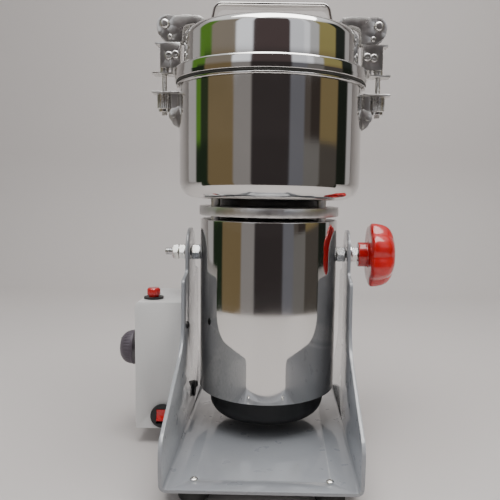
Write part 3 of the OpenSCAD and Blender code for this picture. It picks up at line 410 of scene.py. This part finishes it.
def strap(bm, path, width, thick, y=0.0, edge=0.0007, steps=3):
    """Sweeps a flat strap with rounded edges along a path of (x, z) points; the path is its centre line."""
    half_w, half_t = width / 2, thick / 2
    section = rounded([(-half_w, -half_t, edge), (half_w, -half_t, edge), (half_w, half_t, edge),
                       (-half_w, half_t, edge)], steps)
    rings = []
    for i, p in enumerate(path):
        a = Vector(path[max(i - 1, 0)])
        b = Vector(path[min(i + 1, len(path) - 1)])
        along = (b - a).normalized()
        normal = Vector((-along.y, along.x))
        rings.append([bm.verts.new((p[0] + normal.x * t, y + w, p[1] + normal.y * t)) for w, t in section])
    for low, high in zip(rings, rings[1:]):
        for i in range(len(section)):
            j = (i + 1) % len(section)
            bm.faces.new((low[i], low[j], high[j], high[i]))
    bm.faces.new(rings[0])
    bm.faces.new(list(reversed(rings[-1])))
    return bm


def block(bm, low, high):
    """Adds a plain block between two corners; its edges are softened later."""
    made = bmesh.ops.create_cube(bm, size=1)["verts"]
    size = Vector(high) - Vector(low)
    middle = (Vector(high) + Vector(low)) / 2
    bmesh.ops.transform(bm, matrix=Matrix.Translation(middle) @ Matrix.Diagonal((*size, 1)), verts=made)
    return bm


def screw_head(bm, centre, axis, radius, height, shank, length):
    """A pan head with a cross recess on a short shank. The head stands on centre, towards axis."""
    arm, half_slot = radius * 0.56, radius * 0.13
    at = about(axis, centre)
    steps = 48
    dome = [(radius * math.sin(t), height * (0.28 + 0.72 * math.cos(t))) for t in
            [math.pi / 2 * k / 12 for k in range(1, 13)]]
    rings = [[bm.verts.new(at(0, 0, height * 0.45))]]
    for r, h in dome:
        ring = []
        for i in range(steps):
            a = TURN * i / steps
            u, v = abs(r * math.cos(a)), abs(r * math.sin(a))
            inside = (u < half_slot and v < arm) or (v < half_slot and u < arm)
            ring.append(bm.verts.new(at(r, a, min(h, height * 0.45) if inside else h)))
        rings.append(ring)
    for r, h in ((radius, 0.0), (shank, 0.0), (shank, -length)):
        rings.append([bm.verts.new(at(r, TURN * i / steps, h)) for i in range(steps)])
    rings.append([bm.verts.new(at(0, 0, -length))])
    for low, high in zip(rings, rings[1:]):
        join_rings(bm, low, high, steps)
    return bm


def thread(bm, radius, start, end, axis, centre, pitch=1.25 * MM, steps=28, per_pitch=6):
    """A threaded rod: a shallow V that winds along the rod, with chamfered ends."""
    depth = pitch * 0.5
    count = max(2, int(round((end - start) / pitch * per_pitch)))
    heights = [start + (end - start) * k / count for k in range(count + 1)]

    def wound(r, a, h):
        phase = (h / pitch - a / TURN) % 1.0
        chamfer = radius - depth * 1.2 + min(h - start, end - h)
        return min(r - depth * abs(2 * phase - 1), chamfer)

    outline = [(0, start)] + [(radius, h) for h in heights] + [(0, end)]
    return turned(bm, outline, axis, centre, steps, wound, closed=False)


def hex_nut(bm, flats, bore, start, end, axis, centre):
    """A hexagon nut with both ends chamfered and its bore open."""
    face = flats * 0.47
    step = TURN / 6

    def six_sided(r, a, h):
        if r < flats * 0.4:
            return r
        corner = flats / 2 / math.cos(a % step - step / 2)
        return min(corner, face + min(h - start, end - h) * 1.9)

    rise = (end - start) / 2
    depths = [0, 0.05, 0.1, 0.16, 0.24, 0.5, 0.76, 0.84, 0.9, 0.95, 1]
    outline = [(bore, end - 0.3 * MM), (bore, start + 0.3 * MM), (bore + 0.4 * MM, start)]
    outline += [(flats, start + 2 * rise * d) for d in depths]
    outline += [(bore + 0.4 * MM, end)]
    return turned(bm, outline, axis, centre, 96, six_sided)


# ---------- bowl and lid ----------

WALL = 1.5 * MM
SEAT = 0.1 * MM


def build_bowl():
    low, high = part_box("bowl")
    r, bottom, top = high.x, low.z, high.z
    floor, corner, hole = 3 * MM, 17 * MM, 14.1 * MM
    outline = rounded([
        (hole, bottom, 0), (r, bottom, corner), (r, top, 0), (r - WALL, top, 0),
        (r - WALL, bottom + floor, corner - WALL), (hole, bottom + floor, 0)], 14)
    place_piece("bowl_body", turned(bmesh.new(), outline, steps=256), "mill", "polished_stainless", ["bowl"])


def build_bowl_rim():
    low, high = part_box("bowl_rim")
    reach = 3 * MM
    inner = high.x - reach - WALL
    outline = rounded([
        (inner, low.z, 0.3 * MM), (high.x, low.z, 1.2 * MM),
        (high.x, high.z, 1.2 * MM), (inner, high.z, 0.5 * MM)], 6)
    place_piece("bowl_rim_roll", turned(bmesh.new(), outline, steps=256), "mill",
                "polished_stainless", ["bowl_rim"])


def build_lid():
    low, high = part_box("lid_shell")
    r, foot, top = high.x, low.z, high.z
    shoulder, crown = 10 * MM, 0.5 * MM
    inside = top - WALL
    outline = rounded([
        (0, inside - crown, 0), (r - WALL - shoulder, inside - crown, 0), (r - WALL, inside, shoulder - WALL),
        (r - WALL, foot, 0.3 * MM), (r, foot, 0.3 * MM), (r, top, shoulder),
        (r - shoulder - 4 * MM, top, 3 * MM),
        (r - shoulder - 7 * MM, top - crown, 3 * MM), (0, top - crown, 0)], 14, closed=False)
    place_piece("lid_dome", turned(bmesh.new(), outline, steps=256, closed=False), "lid",
                "polished_stainless", ["lid_shell"])


def build_lid_ring():
    low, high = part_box("lid_ring")
    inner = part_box("lid_shell")[1].x + SEAT
    outer, top, skirt_foot = high.x, high.z, low.z
    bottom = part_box("lid_gasket")[1].z + SEAT
    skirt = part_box("bowl")[1].x - WALL - 0.5 * MM
    skirt_in = skirt - 1.3 * MM
    outline = rounded([
        (inner, bottom, 0), (skirt_in, bottom, 0), (skirt_in, skirt_foot, 0.4 * MM),
        (skirt, skirt_foot, 0.4 * MM), (skirt, bottom, 0), (outer - 0.6 * MM, bottom, 1.0 * MM),
        (outer, bottom + 4 * MM, 2 * MM), (outer, top, 2.8 * MM), (inner, top, 0.8 * MM)], 8)
    place_piece("lid_band", turned(bmesh.new(), outline, steps=256), "lid",
                "polished_stainless", ["lid_ring"])


def build_handle():
    low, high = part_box("lid_handle")
    thick, foot, lean, corner = 2.5 * MM, 14 * MM, 5.5 * MM, 9 * MM
    half = high.x - thick / 2
    base, top = low.z + thick / 2, high.z - thick / 2
    inner = high.x - foot - thick
    bend = corner - thick / 2
    path = rounded([(-inner, base, 0), (-half, base, 2 * MM), (-half + lean, top, bend),
                    (half - lean, top, bend), (half, base, 2 * MM), (inner, base, 0)], 12, closed=False)
    bm = strap(bmesh.new(), path, high.y - low.y, thick)
    place_piece("lid_handle_strap", bm, "lid", "polished_stainless", ["lid_handle"])
    bm = bmesh.new()
    rivet_low, rivet_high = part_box("handle_rivets")
    shank_r, head_r = 2.2 * MM, 3.6 * MM
    x, y = rivet_high.x - head_r, rivet_high.y - head_r
    under = low.z + thick + SEAT
    dome = rounded([(0, rivet_low.z, 0), (shank_r, rivet_low.z, 0), (shank_r, under, 0),
                    (head_r, under, 0), (head_r, rivet_high.z, 1.5 * MM), (0, rivet_high.z, 0)],
                   6, closed=False)
    for cx in (-x, x):
        for cy in (-y, y):
            turned(bm, dome, centre=(cx, cy, 0), steps=40, closed=False)
    place_piece("handle_rivet_heads", bm, "lid", "bright_zinc", ["handle_rivets"])


# ---------- motor ----------

def build_housing():
    low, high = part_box("motor_housing")
    r = high.x
    outline = rounded([
        (r - WALL, low.z, 0.6 * MM), (r, low.z, 0.7 * MM),
        (r, high.z, 0.7 * MM), (r - WALL, high.z, 0.6 * MM)], 5)
    place_piece("motor_shell", turned(bmesh.new(), outline, steps=256), "mill",
                "polished_stainless", ["motor_housing"])


def build_pivot():
    """Threaded studs, chamfered nuts and washers on the pivot axis."""
    pivot = JOINT_AT["mill_tilt"]
    level = (0, pivot[1], pivot[2])
    stud_low, stud_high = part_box("pivot_studs")
    stud_r = (stud_high.z - stud_low.z) / 2
    nut_end = -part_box("pivot_nuts")[0].x
    washer_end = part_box("pivot_washers")[1].x
    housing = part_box("motor_housing")[1].x
    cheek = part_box("base_frame")[1].x - 3 * MM
    nut_t, flats = 6.4 * MM, 14.5 * MM
    in_shell = housing - WALL - 0.6 * MM
    inner = housing - WALL - 9 * MM

    bm = bmesh.new()
    thread(bm, stud_r, inner, stud_high.x, "X", level)
    thread(bm, stud_r, inner, -stud_low.x, "-X", level)
    place_piece("pivot_stud_threads", bm, "mill", "bright_zinc", ["pivot_studs"])

    bm = bmesh.new()
    bore = stud_r + SEAT
    for axis in ("X", "-X"):
        hex_nut(bm, flats, bore, housing + SEAT, cheek - 0.3 * MM, axis, level)
        hex_nut(bm, flats, bore, in_shell - nut_t, in_shell, axis, level)
        hex_nut(bm, flats, bore, washer_end + SEAT, washer_end + SEAT + nut_t, axis, level)
    hex_nut(bm, flats, bore, nut_end - nut_t, nut_end, "-X", level)
    place_piece("pivot_hex_nuts", bm, "mill", "bright_zinc", ["pivot_nuts"])

    bm = bmesh.new()
    washer_start, washer_r = washer_end - 1.8 * MM, 9.5 * MM
    ring = rounded([(bore, washer_start, 0.2 * MM), (washer_r, washer_start, 0.3 * MM),
                    (washer_r, washer_end, 0.5 * MM), (bore, washer_end, 0.2 * MM)], 3)
    for axis in ("X", "-X"):
        turned(bm, ring, axis, level, steps=64)
    place_piece("pivot_flat_washers", bm, "mill", "bright_zinc", ["pivot_washers"])


def build_knob():
    """The lock knob: a plain hub, a dished back and a domed front whose seven lobes fade to the middle."""
    low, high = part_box("lock_knob")
    centre = JOINT_AT["knob_turn"]
    back = low.x - centre[0]
    length = high.x - low.x
    lobes = 7
    # (radius, height, how much the lobes show)
    line = [(8.0, 0.0, 0), (11.9, 0.0, 0), (12.7, 0.8, 0), (12.8, 3.5, 0), (12.8, 7.0, 0), (13.0, 9.4, 0),
            (16.0, 10.5, 0.1), (24.0, 10.3, 0.4), (30.0, 10.9, 0.8), (32.6, 12.4, 1), (33.2, 14.2, 1),
            (33.1, 17.0, 1), (32.5, 21.0, 1), (31.1, 26.0, 1), (28.5, 30.3, 0.95), (24.0, 33.6, 0.8),
            (18.0, 35.7, 0.5), (9.0, 36.8, 0.2), (0.0, 37.0, 0)]
    scale = length / (37 * MM)
    curve = smooth_line([(r * MM, h * MM * scale, w) for r, h, w in line], 4)
    bm = bmesh.new()
    at = about("X", (centre[0] + back, centre[1], centre[2]))
    steps = 168
    rings = []
    for r, h, w in curve:
        if r < 1e-6:
            rings.append([bm.verts.new(at(0, 0, h))])
            continue
        ring = []
        for i in range(steps):
            a = TURN * i / steps
            swell = ((1 + math.cos(lobes * a)) / 2) ** 0.7
            ring.append(bm.verts.new(at(r * (1 - 0.09 * w * (1 - swell)), a, h)))
        rings.append(ring)
    for first, second in zip(rings, rings[1:]):
        join_rings(bm, first, second, steps)
    # the moulded hole that the brass insert sits in
    sink = [(8.0 * MM, 0), (6.8 * MM, 0.0), (6.8 * MM, 4 * MM), (0, 4 * MM)]
    turned(bm, sink, "X", (centre[0] + back, centre[1], centre[2]), 168, closed=False)
    bmesh.ops.remove_doubles(bm, verts=bm.verts, dist=1e-6)
    place_piece("lock_knob_moulding", bm, "knob", "red_plastic", ["lock_knob"], crease=60)


def build_clamp_threads():
    """A fine thread on each clamp's rod, wound just proud of the rod."""
    for side, name in ((1, "right"), (-1, "left")):
        low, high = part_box("clamp_nut_right")
        x = (low.x + high.x) / 2 * side
        box_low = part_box("clamp_box_right")[0].z
        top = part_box("clamp_carrier_right")[1].z
        bm = bmesh.new()
        thread(bm, 2.62 * MM, box_low + 1 * MM, top + 20 * MM, "Z", (x, 0, 0), pitch=0.8 * MM, steps=20)
        place_piece("clamp_rod_thread_" + name, bm, "clamp_" + name, "bright_zinc")


# ---------- stand and control box ----------

def build_screws():
    """Cross-recessed pan heads in place of the plain ones."""
    low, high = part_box("foot_screws")
    head_r, head_h = 3.4 * MM, 2.2 * MM
    bm = bmesh.new()
    for x in (low.x + head_r, high.x - head_r):
        for y in (low.y + head_r, high.y - head_r):
            screw_head(bm, (x, y, high.z - head_h), "Z", head_r, head_h, 2 * MM, high.z - head_h - low.z)
    place_piece("foot_screw_heads", bm, "stand", "bright_zinc", ["foot_screws"], crease=50)

    low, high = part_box("box_screws")
    head_r, head_h = 3.6 * MM, 2.2 * MM
    bm = bmesh.new()
    for y, z in ((low.y + head_r, high.z - head_r), (high.y - head_r, low.z + head_r)):
        screw_head(bm, (high.x - head_h, y, z), "X", head_r, head_h, 1.6 * MM, high.x - head_h - low.x)
    place_piece("box_screw_heads", bm, "stand", "black_plastic", ["box_screws"], crease=50)

    low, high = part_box("cover_screws")
    head_r, head_h = 3.8 * MM, 2.2 * MM
    bm = bmesh.new()
    for x in (low.x + head_r, high.x - head_r):
        for y in (low.y + head_r, high.y - head_r):
            screw_head(bm, (x, y, low.z + head_h), "-Z", head_r, head_h, 2 * MM, high.z - low.z - head_h)
    place_piece("cover_screw_heads", bm, "mill", "bright_zinc", ["cover_screws"], crease=50)

    low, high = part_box("inlet_screws")
    head_r, head_h = 2.8 * MM, 1.7 * MM
    bm = bmesh.new()
    for x in (low.x + head_r, high.x - head_r):
        screw_head(bm, (x, high.y - head_h, (low.z + high.z) / 2), "Y", head_r, head_h, 1.5 * MM,
                   high.y - head_h - low.y)
    place_piece("inlet_screw_heads", bm, "stand", "bright_zinc", ["inlet_screws"], crease=50)


def build_dial():
    """The timer's dial: a skirt, a fluted domed grip, a pointer line and a scale of plain ticks."""
    low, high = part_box("timer_dial")
    centre = JOINT_AT["dial_turn"]
    face = high.x
    radius = (high.y - low.y) / 2
    grip = radius - 0.6 * MM
    height = 15.5 * MM
    place = (face, centre[1], centre[2])
    outline = smooth_line([(grip + 0.1 * MM, 2.5 * MM), (grip, 3.2 * MM), (grip - 0.5 * MM, 6 * MM),
                           (grip - 1.8 * MM, 9.2 * MM), (grip - 4.6 * MM, 12.4 * MM),
                           (grip - 9 * MM, 14.7 * MM), (0, height)], 6)
    bore = 3.4 * MM
    skirt = [(bore, 0.0), (radius - 0.4 * MM, 0.0), (radius, 0.5 * MM), (radius, 1.6 * MM),
             (radius - 0.6 * MM, 2.2 * MM)]
    inner = [(0, 6 * MM), (bore, 6 * MM)]

    def fluted(r, a, h):
        grip_here = 1 if 2.8 * MM < h < 9.5 * MM else 0
        flute = 0.45 * MM * grip_here * max(0.0, math.cos(30 * a)) ** 2
        return r - flute if r > 8 * MM else r

    bm = turned(bmesh.new(), inner + skirt + outline, "-X", place, 240, fluted, closed=False)
    place_piece("timer_dial_grip", bm, "dial", "dial_plastic", ["timer_dial"], crease=40)

    line = block(bmesh.new(), (face - height - 0.25 * MM, centre[1] - 0.7 * MM, centre[2] + 4 * MM),
                 (face - height + 2.6 * MM, centre[1] + 0.7 * MM, centre[2] + grip - 7 * MM))
    place_piece("timer_dial_pointer", line, "dial", "white_plastic", bevel=0.2 * MM)

    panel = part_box("control_box")[0].x
    bm = bmesh.new()
    at = about("-X", (panel, centre[1], centre[2]))
    for i in range(25):
        a = math.pi / 2 + math.radians(150 - 300 * i / 24)
        inner_r, outer_r = radius + 1.6 * MM, radius + (4.6 if i % 6 == 0 else 3.2) * MM
        half = (0.5 if i % 6 == 0 else 0.3) * MM
        corners = []
        for r, side in ((inner_r, -1), (outer_r, -1), (outer_r, 1), (inner_r, 1)):
            corners.append((r, a + side * half / r))
        under = [bm.verts.new(at(r, t, -0.02 * MM)) for r, t in corners]
        over = [bm.verts.new(at(r, t, 0.08 * MM)) for r, t in corners]
        bm.faces.new(over)
        bm.faces.new(list(reversed(under)))
        for k in range(4):
            m = (k + 1) % 4
            bm.faces.new((under[k], under[m], over[m], over[k]))
    place_piece("timer_scale_ticks", bm, "stand", "black_plastic", crease=30)


def build_feet():
    low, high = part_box("rubber_feet")
    r = 14 * MM
    top = high.z
    bm = bmesh.new()
    hole_r, hole_end = 2.1 * MM, top - 8 * MM
    outline = rounded([(0, 0, 0), (r - 3.4 * MM, 0, 0.5 * MM), (r - 2.4 * MM, 1.0 * MM, 0.6 * MM),
                       (r - 1.2 * MM, 2.4 * MM, 0.8 * MM), (r, top, 0.5 * MM), (hole_r, top, 0),
                       (hole_r, hole_end, 0), (0, hole_end, 0)], 5, closed=False)
    for x in (low.x + r, high.x - r):
        for y in (low.y + r, high.y - r):
            turned(bm, outline, centre=(x, y, 0), steps=64, closed=False)
    place_piece("rubber_foot_pads", bm, "stand", "black_rubber", ["rubber_feet"])


# ---------- carried-over nodes ----------

# Width of the softened edges in millimetres, and the nodes where it is another.
USUAL_EDGE = 0.15
EDGE = {
    "base_frame": 0.5, "control_box": 0.35, "control_box_base": 0.3, "mounting_flange": 0.5,
    "support_posts": 0.25, "neck_sleeve": 0.4, "bottom_cover": 0.1, "switch_body": 0.35,
    "switch_rocker": 0.5, "overload_body": 0.4, "reset_button": 0.3, "mains_inlet": 0.3,
    "clamp_brackets": 0.4, "beater_blades": 0.25, "lower_bracket": 0.3, "clamp_carrier_right": 0.35,
    "clamp_carrier_left": 0.35, "clamp_box_right": 0.35, "clamp_box_left": 0.35,
    "clamp_arm_right": 0.35, "clamp_arm_left": 0.35, "housing_ring": 0.3, "cooling_fan": 0.3,
}


def finish_carried_over():
    """Gives every CAD node that still shows its finish, smooth shading and softened edges."""
    for name, node in frame["nodes"].items():
        slot = SLOT_OF[name]
        node.data.materials.clear()
        node.data.materials.append(FINISHES[slot].material)
        if node.hide_render:
            continue
        node.data.polygons.foreach_set("use_smooth", [True] * len(node.data.polygons))
        weld = node.modifiers.new("weld", "WELD")
        weld.merge_threshold = 1e-6
        soften(node, EDGE.get(name, USUAL_EDGE) * MM, 32)


# ---------- studio ----------

def studio_material(name, colour, rough):
    f = Finish(name)
    dark = tuple(c * 0.97 for c in colour)
    f.colour(f.ramp(f.noise(1.3, 4), [(0.3, dark), (0.7, colour)]))
    f.rough(f.span(f.noise(6, 3), rough, rough + 0.1))
    f.relief(f.noise(240, 2), 0.00004)
    return f.material


def build_studio():
    """A pale floor that runs up into a curved wall. In front only a half disc of it is reflected,
    so the steel shows the room beyond it, as it does over a table's edge."""
    material = studio_material("studio_paper", (0.56, 0.53, 0.52), 0.6)
    near, back, side, bend, height, far = 0.70, 1.15, 2.2, 0.35, 1.9, 6.0
    path = rounded([(0, 0, 0), (back, 0, bend), (back, height, 0)], 16, closed=False)
    bm = bmesh.new()
    rows = [[bm.verts.new((x, y, z)) for x in (-side, side)] for y, z in path]
    for low, high in zip(rows, rows[1:]):
        bm.faces.new((low[0], low[1], high[1], high[0]))
    steps = 48
    turns = [math.pi * i / steps for i in range(steps + 1)]
    rim = [(near * math.cos(a), -near * math.sin(a), 0) for a in turns]
    bm.faces.new([bm.verts.new(point) for point in rim])
    sweep = stage_object("studio_sweep", bm, material)
    bm = bmesh.new()
    under = -0.0005
    corners = [(-far, -far, under), (far, -far, under), (far, far, under), (-far, far, under)]
    bm.faces.new([bm.verts.new(c) for c in corners])
    apron = stage_object("studio_apron", bm, material)
    apron.visible_glossy = False
    return sweep, apron


def stage_object(name, bm, material):
    bmesh.ops.recalc_face_normals(bm, faces=bm.faces)
    mesh = bpy.data.meshes.new(name)
    bm.to_mesh(mesh)
    bm.free()
    mesh.polygons.foreach_set("use_smooth", [True] * len(mesh.polygons))
    mesh.materials.append(material)
    made = bpy.data.objects.new(name, mesh)
    bpy.context.collection.objects.link(made)
    return made


# The room in front of the mill, as the polished steel shows it: turn from straight ahead (degrees,
# + towards the knob's side), then the colour near eye level, a little above it, and higher up.
PALE = (0.50, 0.48, 0.47)
GREEN = (0.11, 0.25, 0.035)
SHADE = (0.018, 0.022, 0.016)
ROOM = [
    (-180, PALE, PALE, PALE), (-102, (0.020, 0.032, 0.018), GREEN, GREEN),
    (-93, (0.020, 0.032, 0.018), (0.035, 0.05, 0.025), GREEN),
    (-80, (0.21, 0.155, 0.080), (0.22, 0.165, 0.09), (0.30, 0.26, 0.21)),
    (-44, (0.30, 0.28, 0.27), (0.30, 0.28, 0.27), (1.25, 1.28, 1.35)),
    (-22, (0.045, 0.038, 0.038), (0.05, 0.042, 0.042), (0.10, 0.075, 0.075)),
    (24, (0.17, 0.17, 0.19), (0.17, 0.17, 0.19), (0.90, 0.92, 0.98)),
    (42, (0.185, 0.175, 0.165), (0.10, 0.085, 0.075), (1.10, 1.12, 1.18)),
    (50, (0.185, 0.175, 0.165), (0.05, 0.04, 0.035), (0.60, 0.60, 0.60)),
    (63, (0.085, 0.075, 0.065), (0.23, 0.175, 0.085), (0.36, 0.31, 0.12)),
    (90, SHADE, SHADE, (0.03, 0.035, 0.03)), (109, PALE, PALE, PALE),
]


def build_room_light():
    world = bpy.data.worlds.new("studio_room")
    bpy.context.scene.world = world
    world.use_nodes = True
    tree = world.node_tree
    nodes, links = tree.nodes, tree.links
    nodes.clear()

    def add(kind, **settings):
        node = nodes.new(kind)
        for key, value in settings.items():
            setattr(node, key, value)
        return node

    direction = add("ShaderNodeTexCoord").outputs["Generated"]
    parts = add("ShaderNodeSeparateXYZ")
    links.new(direction, parts.inputs["Vector"])
    ahead = add("ShaderNodeMath", operation="MULTIPLY")
    ahead.inputs[1].default_value = -1
    links.new(parts.outputs["Y"], ahead.inputs[0])
    turn = add("ShaderNodeMath", operation="ARCTAN2")
    links.new(parts.outputs["X"], turn.inputs[0])
    links.new(ahead.outputs[0], turn.inputs[1])
    share = add("ShaderNodeMapRange")
    share.inputs["From Min"].default_value = -math.pi
    share.inputs["From Max"].default_value = math.pi
    links.new(turn.outputs[0], share.inputs["Value"])

    def strips(layer):
        ramp = add("ShaderNodeValToRGB")
        elements = ramp.color_ramp.elements
        blur = 1.2
        stops = []
        for i, row in enumerate(ROOM):
            following = ROOM[i + 1][0] if i + 1 < len(ROOM) else 180
            stops.append(((row[0] + blur + 180) / 360, row[layer]))
            stops.append(((following - blur + 180) / 360, row[layer]))
        while len(elements) < len(stops):
            elements.new(0.5)
        for element, (position, colour) in zip(elements, stops):
            element.position = max(0.0, min(1.0, position))
            element.color = (*colour, 1)
        links.new(share.outputs["Result"], ramp.inputs["Fac"])
        return ramp.outputs["Color"]

    def rise(start, end):
        node = add("ShaderNodeMapRange", interpolation_type="SMOOTHSTEP")
        node.inputs["From Min"].default_value = start
        node.inputs["From Max"].default_value = end
        links.new(parts.outputs["Z"], node.inputs["Value"])
        return node.outputs["Result"]

    def mix(factor, a, b):
        node = add("ShaderNodeMix", data_type="RGBA")
        links.new(factor, node.inputs["Factor"])
        for socket, value in ((node.inputs["A"], a), (node.inputs["B"], b)):
            if isinstance(value, tuple):
                socket.default_value = (*value, 1)
            else:
                links.new(value, socket)
        return node.outputs["Result"]

    room = mix(rise(0.04, 0.06), strips(1), strips(2))
    room = mix(rise(0.18, 0.23), room, strips(3))
    room = mix(rise(0.62, 0.80), room, (1.15, 1.15, 1.15))
    path = add("ShaderNodeLightPath")
    plain = mix(path.outputs["Is Glossy Ray"], (0.24, 0.235, 0.23), room)
    shine = add("ShaderNodeBackground")
    shine.inputs["Strength"].default_value = 0.85
    links.new(plain, shine.inputs["Color"])
    links.new(shine.outputs["Background"], add("ShaderNodeOutputWorld").inputs["Surface"])


def soft_light(name, place, aim, size, power, colour=(1, 1, 1)):
    light = bpy.data.lights.new(name, "AREA")
    light.shape = "RECTANGLE"
    light.size, light.size_y = size
    light.energy = power
    light.color = colour
    made = bpy.data.objects.new(name, light)
    made.location = place
    made.rotation_euler = (Vector(aim) - Vector(place)).to_track_quat("-Z", "Y").to_euler()
    bpy.context.collection.objects.link(made)
    return made


def build_lights():
    middle = (0, 0, 0.2)
    soft_light("light_top", (0.1, -0.2, 1.5), middle, (1.3, 1.0), 30, (1.0, 0.99, 0.97))
    left = soft_light("light_left", (-1.25, -0.65, 0.75), middle, (0.6, 0.9), 5, (0.96, 0.98, 1.0))
    right = soft_light("light_right", (1.2, -0.85, 0.8), middle, (0.6, 0.9), 5, (1.0, 0.98, 0.95))
    for side in (left, right):
        side.visible_glossy = False


def build_camera():
    """The photograph's viewpoint: a little above the middle, turned and tipped slightly."""
    yaw, pitch, roll = 0.010, 0.1045, 0.0159
    ahead = Vector((-math.sin(yaw) * math.cos(pitch), math.cos(yaw) * math.cos(pitch), -math.sin(pitch)))
    right = Vector((math.cos(yaw), math.sin(yaw), 0))
    up = right.cross(ahead)
    across = right * math.cos(roll) + up * math.sin(roll)
    over = up * math.cos(roll) - right * math.sin(roll)
    axes = Matrix((across, over, -ahead)).transposed()
    data = bpy.data.cameras.new("camera")
    data.sensor_width = 36
    data.lens = 42.42
    data.shift_x = -0.047
    data.clip_start = 0.02
    camera = bpy.data.objects.new("camera", data)
    camera.matrix_world = Matrix.Translation((0.01127, -0.6068, 0.2567)) @ axes.to_4x4()
    bpy.context.collection.objects.link(camera)
    bpy.context.scene.camera = camera


build_camera()
build_bowl()
build_bowl_rim()
build_lid()
build_lid_ring()
build_handle()
build_housing()
build_pivot()
build_knob()
build_clamp_threads()
build_screws()
build_dial()
build_feet()
finish_carried_over()
build_studio()
build_room_light()
build_lights()
